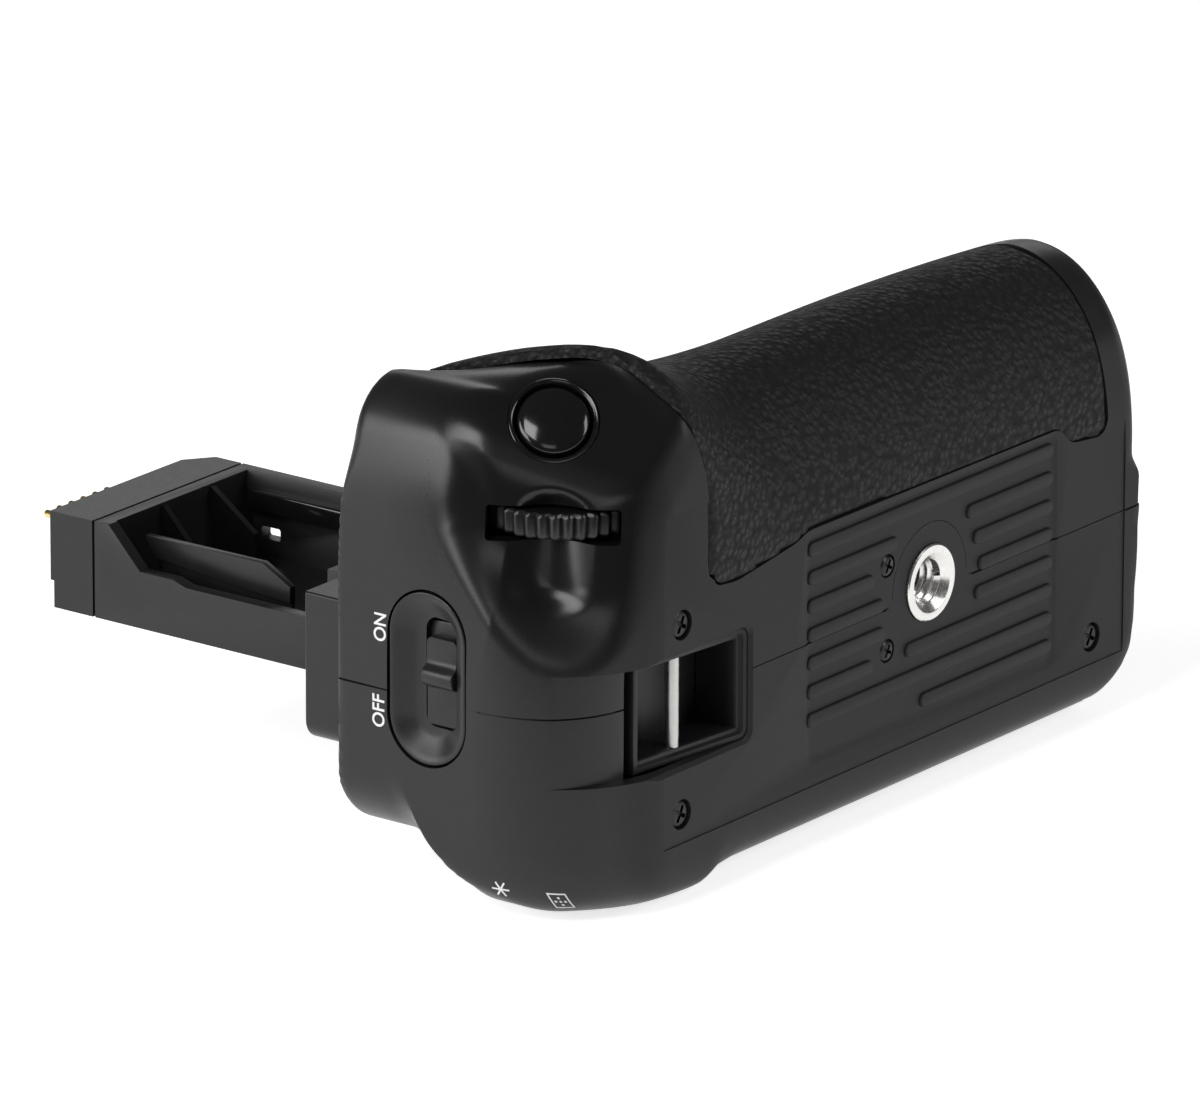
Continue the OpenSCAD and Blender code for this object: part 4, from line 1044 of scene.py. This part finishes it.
class GRIP_OT_stalk(bpy.types.Operator):
    """Hollow stalk with its ribs, its blade and the sprung pins"""
    bl_idname = "grip.stalk"
    bl_label = "Stalk"

    def execute(self, context):
        x0, x1 = STALK_X
        hull = to_object(solid_copy("stalk_housing", merge_flats=True), "stalk_body", 30)
        step = prism([(78.3, 2.9), (76, 2.2), (51, 2.2), (51, 4), (78.3, 4)], "x", x0 - 1, x0 + 2.4)
        carve(hull, to_object(step, "cut_step"))
        carve(hull, to_object(block(bmesh.new(), (x1 - 3, 84, -0.8), (x1 + 1, 87.3, 1.0), 0.3), "cut_hole"))
        soften(hull, 0.28)
        bake(hull)
        shade(hull, 40)
        finish_piece(hull, "grip", "shell", "satin_shell", "stalk_housing")
        ribs = bmesh.new()
        for x, y in ((-57.4, 84.25), (-46.7, 82.0)):
            side = [(90.1, 8.3), (89.5, 8.3), (y, 2.9), (y - 0.6, -3.35), (87.7, -3.35)]
            gather(ribs, prism(side, "x", x - 0.5, x + 0.5))
        block(ribs, (x1 - 3.4, 54.0, 3.4), (x1 - 1.9, 89.0, 6.3), 0.3)
        finish_piece(to_object(ribs, "stalk_ribs", 40), "grip", "shell", "gloss_black")
        edge = [(61.9, 1.4), (61.9, 3.72), (66.65, 6.33), (87.4, 6.24), (85.7, 3.29)]
        foot = [(61.9, -3.28), (61.9, 2.4), (85.0, 4.2), (84.2, -3.28)]
        obj = to_object(prism(edge, "x", -64.6, -63.4), "clip_blade", 30)
        carve(obj, to_object(prism(foot, "x", -64.1, -63.5), "add_foot"), "UNION")
        soften(obj, 0.16)
        bake(obj)
        shade(obj, 40)
        finish_piece(obj, "grip", "shell", "satin_shell", "door_clip")
        for k in range(1, 7):
            node = "contact_pin_%d" % k
            low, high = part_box(node)
            size = (high - low) / MM
            r = min(size) / 2
            half = size.y / 2
            pin = turned(((0, -half), (r, -half), (r, half - 0.5 * r), (r * 0.86, half - 0.2 * r),
                          (r * 0.5, half - 0.04 * r), (0, half)), 32)
            place = Matrix.Translation((low + high) / 2 / MM) @ INWARD
            finish_piece(to_object(move(pin, place), node + "_tip", 50), "pin_%d" % k, "gold", "gold_plate",
                         node)
        return {"FINISHED"}


class GRIP_OT_mount(bpy.types.Operator):
    """Threaded mounting screw of the camera face"""
    bl_idname = "grip.mount"
    bl_label = "Mounting screw"

    def execute(self, context):
        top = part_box("mount_screw")[1].y / MM
        spot = Matrix.Translation((0, top - 5.4, -3)) @ INWARD
        obj = to_object(solid_copy("mount_screw"), "threaded_screw", 30)
        for k in range(4):
            h = 0.45 + PITCH * k
            ring = turned(((2.62, h + 0.42), (3.6, h - 0.1), (3.6, h + 0.94)), 64, True)
            carve(obj, to_object(move(ring, spot), "cut_groove"))
        shade(obj, 30)
        finish_piece(obj, "mount_drive", "steel", "turned_steel", "mount_screw")
        return {"FINISHED"}


# Pieces kept from the solids: finish, width of the softened edges in millimetres, nodes
KEPT = (
    ("inner_plastic", 0.25, ("inner_frame", "battery_drawer", "dial_bracket", "bay_contacts")),
    ("satin_shell", 0.35, ("stalk_collar", "stalk_head")),
    ("satin_shell", 0.3, ("latch_knob",)),
    ("satin_plate", 0.15, ("mount_plate", "latch_ring")),
    ("fine_rubber", 0.2, ("mating_pad",)),
    ("turned_steel", 0.12, ("locating_pin", "dial_axle")),
    ("dark_screw", 0.12, ("bush_plate", "lug_bracket")),
    ("fine_rubber", 0.25, ("mount_wheel",)),
    ("gloss_black", 0.2, ("shutter_switch", "switch_body")),
    ("green_board", 0.08, ("control_board", "thumb_board")),
    ("gold_plate", 0.08, ("drawer_contacts",)),
)


class GRIP_OT_kept(bpy.types.Operator):
    """Finishes and softened edges of the pieces kept from the solids"""
    bl_idname = "grip.kept"
    bl_label = "Kept pieces"

    def execute(self, context):
        for material, width, nodes in KEPT:
            for name in nodes:
                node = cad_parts[name]
                node.data.materials.clear()
                node.data.materials.append(bpy.data.materials[material])
                weld = node.modifiers.new("weld", "WELD")
                weld.merge_threshold = WELD
                flat = node.modifiers.new("flat", "DECIMATE")
                flat.decimate_type = "DISSOLVE"
                flat.angle_limit = math.radians(0.6)
                soften(node, width)
                node.data.shade_smooth()
                even = node.modifiers.new("even", "WEIGHTED_NORMAL")
                even.keep_sharp = True
        return {"FINISHED"}


class GRIP_OT_marks(bpy.types.Operator):
    """White marks of the power switch and of the thumb buttons"""
    bl_idname = "grip.marks"
    bl_label = "Marks"

    def execute(self, context):
        form = Form()
        words = [self.word(context, form, "ON", (35.1, 7.3), 3.9),
                 self.word(context, form, "OFF", (35.3, -4.6), 4.6)]
        finish_piece(joined(words, "switch_marks"), "grip", "shell", "white_print")
        third = math.pi / 3
        marks = [self.bar(form, STAR_AT, turn, 1.3, 0.14) for turn in (0.0, third, -third)]
        gap = 0.65
        for shift in ((0, 0), (-gap, 0), (gap, 0), (0, gap), (0, -gap)):
            marks.append(self.bar(form, FRAME_AT, 0.0, 0.16, 0.16, shift, FRAME_SKEW))
        wide, tall, line = 1.2, 1.3, 0.11
        for side in (1, -1):
            marks.append(self.bar(form, FRAME_AT, 0.0, wide + line, line, (0, side * tall), FRAME_SKEW))
            marks.append(self.bar(form, FRAME_AT, math.pi / 2, tall, line, (side * wide, 0), FRAME_SKEW))
        finish_piece(joined(marks, "thumb_marks"), "grip", "shell", "white_print")
        return {"FINISHED"}

    # A word laid on the end face, read along z
    def word(self, context, form, body, mid, long, tall=2.1):
        curve = bpy.data.curves.new("mark", "FONT")
        curve.body = body
        curve.extrude = 0.02
        curve.offset = 0.015
        text = bpy.data.objects.new("mark", curve)
        context.scene.collection.objects.link(text)
        context.view_layer.update()
        mesh = bpy.data.meshes.new_from_object(text.evaluated_get(context.evaluated_depsgraph_get()))
        bpy.data.objects.remove(text)
        bpy.data.curves.remove(curve)
        bm = bmesh.new()
        bm.from_mesh(mesh)
        bpy.data.meshes.remove(mesh)
        bmesh.ops.remove_doubles(bm, verts=bm.verts[:], dist=1e-5)
        spot = np.array([v.co for v in bm.verts])
        low, high = spot.min(0), spot.max(0)
        for v in bm.verts:
            a = (v.co.x - low[0]) / (high[0] - low[0]) - 0.5
            b = (v.co.y - low[1]) / (high[1] - low[1]) - 0.5
            z = mid[1] + a * long
            lift = 0.015 if v.co.z > 0 else -0.1
            v.co = (-form.end_x + END_LEAN * max(z, 0) ** 2 - lift, mid[0] + b * tall, z)
        bmesh.ops.recalc_face_normals(bm, faces=bm.faces[:])
        return to_object(bm, "mark", 40)

    # A printed bar laid on the skin of the rear shell
    def bar(self, form, spot, turn, long, wide, shift=(0.0, 0.0), skew=0.0):
        c = np.array(spot)
        slope = np.array([float(form.rear(c + h) - form.rear(c - h)) for h in np.eye(3) * 0.02])
        out = slope / np.linalg.norm(slope)
        right = np.cross(out, (0, 0, 1.0))
        right /= np.linalg.norm(right)
        up = np.cross(right, out)
        bm = block(bmesh.new(), (-long, -wide, 0), (long, wide, 1))
        bmesh.ops.subdivide_edges(bm, edges=bm.edges[:], cuts=4, use_grid_fill=True)
        for v in bm.verts:
            a = v.co.x * math.cos(turn) - v.co.y * math.sin(turn) + shift[0]
            b = v.co.x * math.sin(turn) + v.co.y * math.cos(turn) + shift[1]
            at = c + right * (a - skew * b) + up * b
            low, high = -4.0, 4.0
            for _ in range(24):
                half = 0.5 * (low + high)
                low, high = (half, high) if form.rear(at + out * half) < 0 else (low, half)
            v.co = at + out * (low + (0.02 if v.co.z > 0.5 else -0.08))
        bmesh.ops.recalc_face_normals(bm, faces=bm.faces[:])
        return to_object(bm, "mark", 40)


# Materials: every one is worked out from object coordinates
class Paint:
    def __init__(self, name, colour, roughness, metallic=0.0, specular=0.5):
        self.mat = bpy.data.materials.new(name)
        self.mat.use_nodes = True
        self.tree = self.mat.node_tree
        self.shader = self.tree.nodes["Principled BSDF"]
        self.shader.inputs["Base Color"].default_value = (*colour, 1)
        self.shader.inputs["Roughness"].default_value = roughness
        self.shader.inputs["Metallic"].default_value = metallic
        self.shader.inputs["Specular IOR Level"].default_value = specular
        self.coords = self.add("ShaderNodeTexCoord").outputs["Object"]

    def add(self, kind, **values):
        node = self.tree.nodes.new(kind)
        for key, value in values.items():
            setattr(node, key, value)
        return node

    def link(self, a, b):
        self.tree.links.new(a, b)

    def noise(self, scale, detail=3.0, rough=0.55):
        node = self.add("ShaderNodeTexNoise")
        node.inputs["Scale"].default_value = scale
        node.inputs["Detail"].default_value = detail
        node.inputs["Roughness"].default_value = rough
        self.link(self.coords, node.inputs["Vector"])
        return node.outputs["Fac"]

    def ramp(self, value, low, high, a=0.3, b=0.7):
        node = self.add("ShaderNodeMapRange")
        node.inputs["From Min"].default_value = a
        node.inputs["From Max"].default_value = b
        node.inputs["To Min"].default_value = low
        node.inputs["To Max"].default_value = high
        self.link(value, node.inputs["Value"])
        return node.outputs["Result"]

    def mix(self, value, a, b):
        node = self.add("ShaderNodeMix", data_type="RGBA")
        self.link(value, node.inputs["Factor"])
        node.inputs["A"].default_value = (*a, 1)
        node.inputs["B"].default_value = (*b, 1)
        return node.outputs["Result"]

    # One value that goes over to a constant
    def blend(self, value, a, b):
        node = self.add("ShaderNodeMix", data_type="FLOAT")
        self.link(value, node.inputs["Factor"])
        self.link(a, node.inputs["A"])
        node.inputs["B"].default_value = b
        return node.outputs["Result"]

    # One at a point, falling to nought between two distances in millimetres
    def near(self, spot, inner, outer):
        node = self.add("ShaderNodeVectorMath", operation="DISTANCE")
        self.link(self.coords, node.inputs[0])
        node.inputs[1].default_value = [c * MM for c in spot]
        return self.ramp(node.outputs["Value"], 1.0, 0.0, inner * MM, outer * MM)

    def bump(self, height, strength, depth):
        node = self.add("ShaderNodeBump")
        node.inputs["Strength"].default_value = strength
        node.inputs["Distance"].default_value = depth * MM
        self.link(height, node.inputs["Height"])
        self.link(node.outputs["Normal"], self.shader.inputs["Normal"])

    def colour(self, socket):
        self.link(socket, self.shader.inputs["Base Color"])

    def roughness(self, socket):
        self.link(socket, self.shader.inputs["Roughness"])


def scaled(colour, k):
    return tuple(c * k for c in colour)


# Moulded shell: painted shade halves its colour round the finger rest, which is also smoother; matt on the
# tripod face
def satin_shell(colour):
    paint = Paint("satin_shell", colour, 0.36, specular=0.38)
    # Mask round the finger rest: it paints shade there by halving the shell's colour, and makes the shell
    # smoother
    rest = paint.near(REST_AT, 15, 27)
    grain = paint.noise(2600, 2.0)
    mottle = paint.mix(paint.ramp(paint.noise(420, 2.0), 0, 1), scaled(colour, 0.92), scaled(colour, 1.08))
    # Painted shade: the same plastic is given half its colour in the finger rest's recess and facets
    rest_painted_shade = paint.add("ShaderNodeMix", data_type="RGBA")
    paint.link(rest, rest_painted_shade.inputs["Factor"])
    paint.link(mottle, rest_painted_shade.inputs["A"])
    rest_painted_shade.inputs["B"].default_value = (*scaled(colour, 0.5), 1)
    paint.colour(rest_painted_shade.outputs["Result"])
    split = paint.add("ShaderNodeSeparateXYZ")
    paint.link(paint.coords, split.inputs["Vector"])
    face = paint.ramp(split.outputs["Y"], 1.0, 0.0, 0.9 * MM, 3.0 * MM)
    smoother = paint.blend(rest, paint.ramp(grain, 0.33, 0.39), 0.23)
    paint.roughness(paint.blend(face, smoother, 0.62))
    paint.bump(grain, 0.18, 0.03)


# Rubber with a leather grain of warped cells, with painted shade in the grooves and painted light on the
# cells' tops
def grained_rubber(name, colour, scale, strength, depth):
    paint = Paint(name, colour, 0.58, specular=0.28)
    cells = paint.add("ShaderNodeTexVoronoi", feature="SMOOTH_F1")
    cells.inputs["Scale"].default_value = scale
    cells.inputs["Smoothness"].default_value = 0.35
    cells.inputs["Randomness"].default_value = 1.0
    warp = paint.add("ShaderNodeTexNoise")
    warp.inputs["Scale"].default_value = scale * 0.7
    warp.inputs["Detail"].default_value = 2.0
    paint.link(paint.coords, warp.inputs["Vector"])
    shift = paint.add("ShaderNodeVectorMath", operation="MULTIPLY_ADD")
    paint.link(warp.outputs["Color"], shift.inputs[0])
    shift.inputs[1].default_value = (0.9 / scale,) * 3
    paint.link(paint.coords, shift.inputs[2])
    paint.link(shift.outputs["Vector"], cells.inputs["Vector"])
    height = paint.ramp(cells.outputs["Distance"], 1.0, 0.0, 0.1, 0.75)
    # Painted shade and light: the colour is darker in the grooves between the cells and lighter on their
    # tops
    paint.colour(paint.mix(height, scaled(colour, 0.55), scaled(colour, 1.2)))
    paint.roughness(paint.ramp(height, 0.72, 0.5, 0.0, 1.0))
    paint.bump(height, strength, depth)


def plastic(name, colour, rough, scale):
    paint = Paint(name, colour, rough)
    grain = paint.noise(scale)
    paint.colour(paint.mix(paint.ramp(grain, 0, 1), scaled(colour, 0.9), scaled(colour, 1.1)))
    paint.roughness(paint.ramp(grain, rough * 0.85, rough * 1.15))
    paint.bump(grain, 0.06, 0.02)


def metal(name, colour, rough, scale):
    paint = Paint(name, colour, rough, metallic=1.0)
    grain = paint.noise(scale, 4.0)
    paint.colour(paint.mix(paint.ramp(grain, 0, 1), scaled(colour, 0.88), colour))
    paint.roughness(paint.ramp(grain, rough * 0.8, rough * 1.25))
    paint.bump(grain, 0.08, 0.02)


def flat_print(name, colour, rough):
    paint = Paint(name, colour, rough)
    paint.colour(paint.mix(paint.ramp(paint.noise(1500), 0, 1), scaled(colour, 0.9), colour))


class GRIP_OT_materials(bpy.types.Operator):
    """Finishes of the grip"""
    bl_idname = "grip.materials"
    bl_label = "Materials"

    def execute(self, context):
        tone = context.scene.grip_finish
        shell, steel = tuple(tone.shell), tuple(tone.steel)
        satin_shell(shell)
        grained_rubber("leather_rubber", tuple(tone.rubber), 900, 0.9, 0.22)
        grained_rubber("fine_rubber", tuple(tone.rubber), 2600, 0.5, 0.06)
        plastic("gloss_black", tuple(tone.gloss), 0.13, 900)
        plastic("inner_plastic", scaled(shell, 0.7), 0.5, 1800)
        plastic("dial_plastic", scaled(shell, 0.55), 0.33, 2200)
        metal("turned_steel", steel, 0.24, 1500)
        metal("bright_steel", scaled(steel, 0.7), 0.34, 1200)
        metal("satin_plate", scaled(steel, 0.62), 0.4, 2400)
        metal("dark_screw", scaled(steel, 0.05), 0.36, 1800)
        metal("gold_plate", tuple(tone.gold), 0.22, 1500)
        flat_print("green_board", tuple(tone.board), 0.35)
        flat_print("white_print", (0.86, 0.86, 0.86), 0.5)
        return {"FINISHED"}


def lamp(name, where, aim, size, power):
    light = bpy.data.lights.new(name, "AREA")
    light.shape = "RECTANGLE"
    light.size, light.size_y = size
    light.energy = power
    obj = bpy.data.objects.new(name, light)
    bpy.context.scene.collection.objects.link(obj)
    obj.location = where
    obj.rotation_euler = (Vector(aim) - Vector(where)).to_track_quat("-Z", "Y").to_euler()


# White floor: its own light goes to the camera and to what mirrors or lets it through, so shadows stay
def white_floor(bounce, glow):
    mat = bpy.data.materials.new("floor")
    mat.use_nodes = True
    tree = mat.node_tree
    shader = tree.nodes["Principled BSDF"]
    shader.inputs["Base Color"].default_value = (bounce, bounce, bounce, 1)
    shader.inputs["Roughness"].default_value = 0.9
    shader.inputs["Specular IOR Level"].default_value = 0.0
    path = tree.nodes.new("ShaderNodeLightPath")
    seen = path.outputs["Is Camera Ray"]
    for key in ("Is Glossy Ray", "Is Transmission Ray"):
        more = tree.nodes.new("ShaderNodeMath")
        more.operation = "MAXIMUM"
        tree.links.new(seen, more.inputs[0])
        tree.links.new(path.outputs[key], more.inputs[1])
        seen = more.outputs["Value"]
    lift = tree.nodes.new("ShaderNodeMath")
    lift.operation = "MULTIPLY"
    lift.inputs[1].default_value = glow
    tree.links.new(seen, lift.inputs[0])
    light = tree.nodes.new("ShaderNodeEmission")
    tree.links.new(lift.outputs["Value"], light.inputs["Strength"])
    both = tree.nodes.new("ShaderNodeAddShader")
    tree.links.new(shader.outputs["BSDF"], both.inputs[0])
    tree.links.new(light.outputs["Emission"], both.inputs[1])
    tree.links.new(both.outputs["Shader"], tree.nodes["Material Output"].inputs["Surface"])
    return mat


class GRIP_OT_stage(bpy.types.Operator):
    """Camera, white floor and soft lamps"""
    bl_idname = "grip.stage"
    bl_label = "Stage"

    def execute(self, context):
        scene = context.scene
        scene.view_settings.view_transform = "Standard"
        back = self.camera(scene)
        self.floor(scene.grip_stage, back)
        world = bpy.data.worlds.new("studio")
        scene.world = world
        world.use_nodes = True
        dim = world.node_tree.nodes["Background"]
        dim.inputs["Color"].default_value = (1, 1, 1, 1)
        dim.inputs["Strength"].default_value = 0.1
        near_end, middle = (-0.02, 0.03, 0), (0, 0.03, 0)
        lamp("key", (-0.85, 0.50, 0.26), near_end, (0.8, 0.42), 6)
        lamp("left", (-0.78, 0.02, 0.66), near_end, (0.42, 0.4), 4)
        lamp("side", (0.36, -0.82, 0.45), middle, (0.34, 0.6), 3.4)
        lamp("rim", (0.80, 0.60, 0.40), middle, (0.6, 0.4), 0.8)
        lamp("front", (-0.90, -0.55, 0.36), near_end, (0.35, 0.3), 0.5)
        return {"FINISHED"}

    # Camera turned so that the picture's middle lies off the lens axis of the fit; gives the way to it
    def camera(self, scene):
        stage = scene.grip_stage
        a, e, roll = stage.azimuth, stage.elevation, stage.roll
        back = Vector((-math.sin(a) * math.cos(e), -math.cos(a) * math.cos(e), math.sin(e)))
        right = Vector((math.cos(a), -math.sin(a), 0))
        up = Vector((math.sin(a) * math.sin(e), math.cos(a) * math.sin(e), math.cos(e)))
        side = math.cos(roll) * right + math.sin(roll) * up
        over = math.cos(roll) * up - math.sin(roll) * right
        off_x, off_y = FRAME_PX[0] / 2 - AXIS_PX[0], FRAME_PX[1] / 2 - AXIS_PX[1]
        ahead = (-back * FOCUS_PX + side * off_x - over * off_y).normalized()
        x = (side - side.dot(ahead) * ahead).normalized()
        y = x.cross(ahead)
        cam = bpy.data.cameras.new("camera")
        cam.lens = stage.lens
        cam.sensor_width = 36
        cam.clip_start = 0.05
        cam.clip_end = 20
        obj = bpy.data.objects.new("camera", cam)
        turn = Matrix((x, y, -ahead)).transposed().to_4x4()
        obj.matrix_world = Matrix.Translation(back * stage.distance) @ turn
        scene.collection.objects.link(obj)
        scene.camera = obj
        return back

    # Floor under the grip, short on the camera's side
    def floor(self, stage, back):
        toward = Vector((back.x, back.y, 0)).normalized()
        reach = (stage.floor_back + stage.floor_front) / MM
        spot = toward * (stage.floor_front - stage.floor_back) / 2 / MM
        place = Matrix.Translation((spot.x, spot.y, CAD_BOX[0][2] / MM - 0.02))
        turn = Matrix.Rotation(math.atan2(toward.y, toward.x), 4, "Z") @ Matrix.Diagonal((reach, 4000, 1, 1))
        bm = bmesh.new()
        bmesh.ops.create_grid(bm, x_segments=8, y_segments=8, size=0.5, matrix=place @ turn)
        floor = to_object(bm, "floor")
        floor.data.materials.append(white_floor(0.86, 0.72))


STEPS = ("materials", "front_shell", "rear_shell", "rubber", "tripod_pad", "door", "controls",
         "tripod_socket", "lug", "stalk", "mount", "kept", "marks", "stage")


class GRIP_PT_panel(bpy.types.Panel):
    """Steps that build the grip"""
    bl_label = "Battery grip"
    bl_idname = "GRIP_PT_panel"
    bl_space_type = "VIEW_3D"
    bl_region_type = "UI"
    bl_category = "Grip"

    def draw(self, context):
        for step in STEPS:
            self.layout.operator("grip." + step)
        for group in ("grip_sizes", "grip_rest", "grip_finish", "grip_stage"):
            holder = getattr(context.scene, group)
            for key in holder.bl_rna.properties.keys():
                if key not in ("rna_type", "name"):
                    self.layout.prop(holder, key)


CLASSES = (GripSizes, GripRest, GripFinish, GripStage, GRIP_OT_materials, GRIP_OT_front_shell,
           GRIP_OT_rear_shell, GRIP_OT_rubber, GRIP_OT_tripod_pad, GRIP_OT_door, GRIP_OT_controls,
           GRIP_OT_tripod_socket, GRIP_OT_lug, GRIP_OT_stalk, GRIP_OT_mount, GRIP_OT_kept, GRIP_OT_marks,
           GRIP_OT_stage, GRIP_PT_panel)


def register():
    for cls in CLASSES:
        bpy.utils.register_class(cls)
    bpy.types.Scene.grip_sizes = PointerProperty(type=GripSizes)
    bpy.types.Scene.grip_rest = PointerProperty(type=GripRest)
    bpy.types.Scene.grip_finish = PointerProperty(type=GripFinish)
    bpy.types.Scene.grip_stage = PointerProperty(type=GripStage)


def unregister():
    for name in ("grip_sizes", "grip_rest", "grip_finish", "grip_stage"):
        delattr(bpy.types.Scene, name)
    for cls in reversed(CLASSES):
        bpy.utils.unregister_class(cls)


def main():
    register()
    for step in STEPS:
        getattr(bpy.ops.grip, step)()


if __name__ == "__main__":
    main()
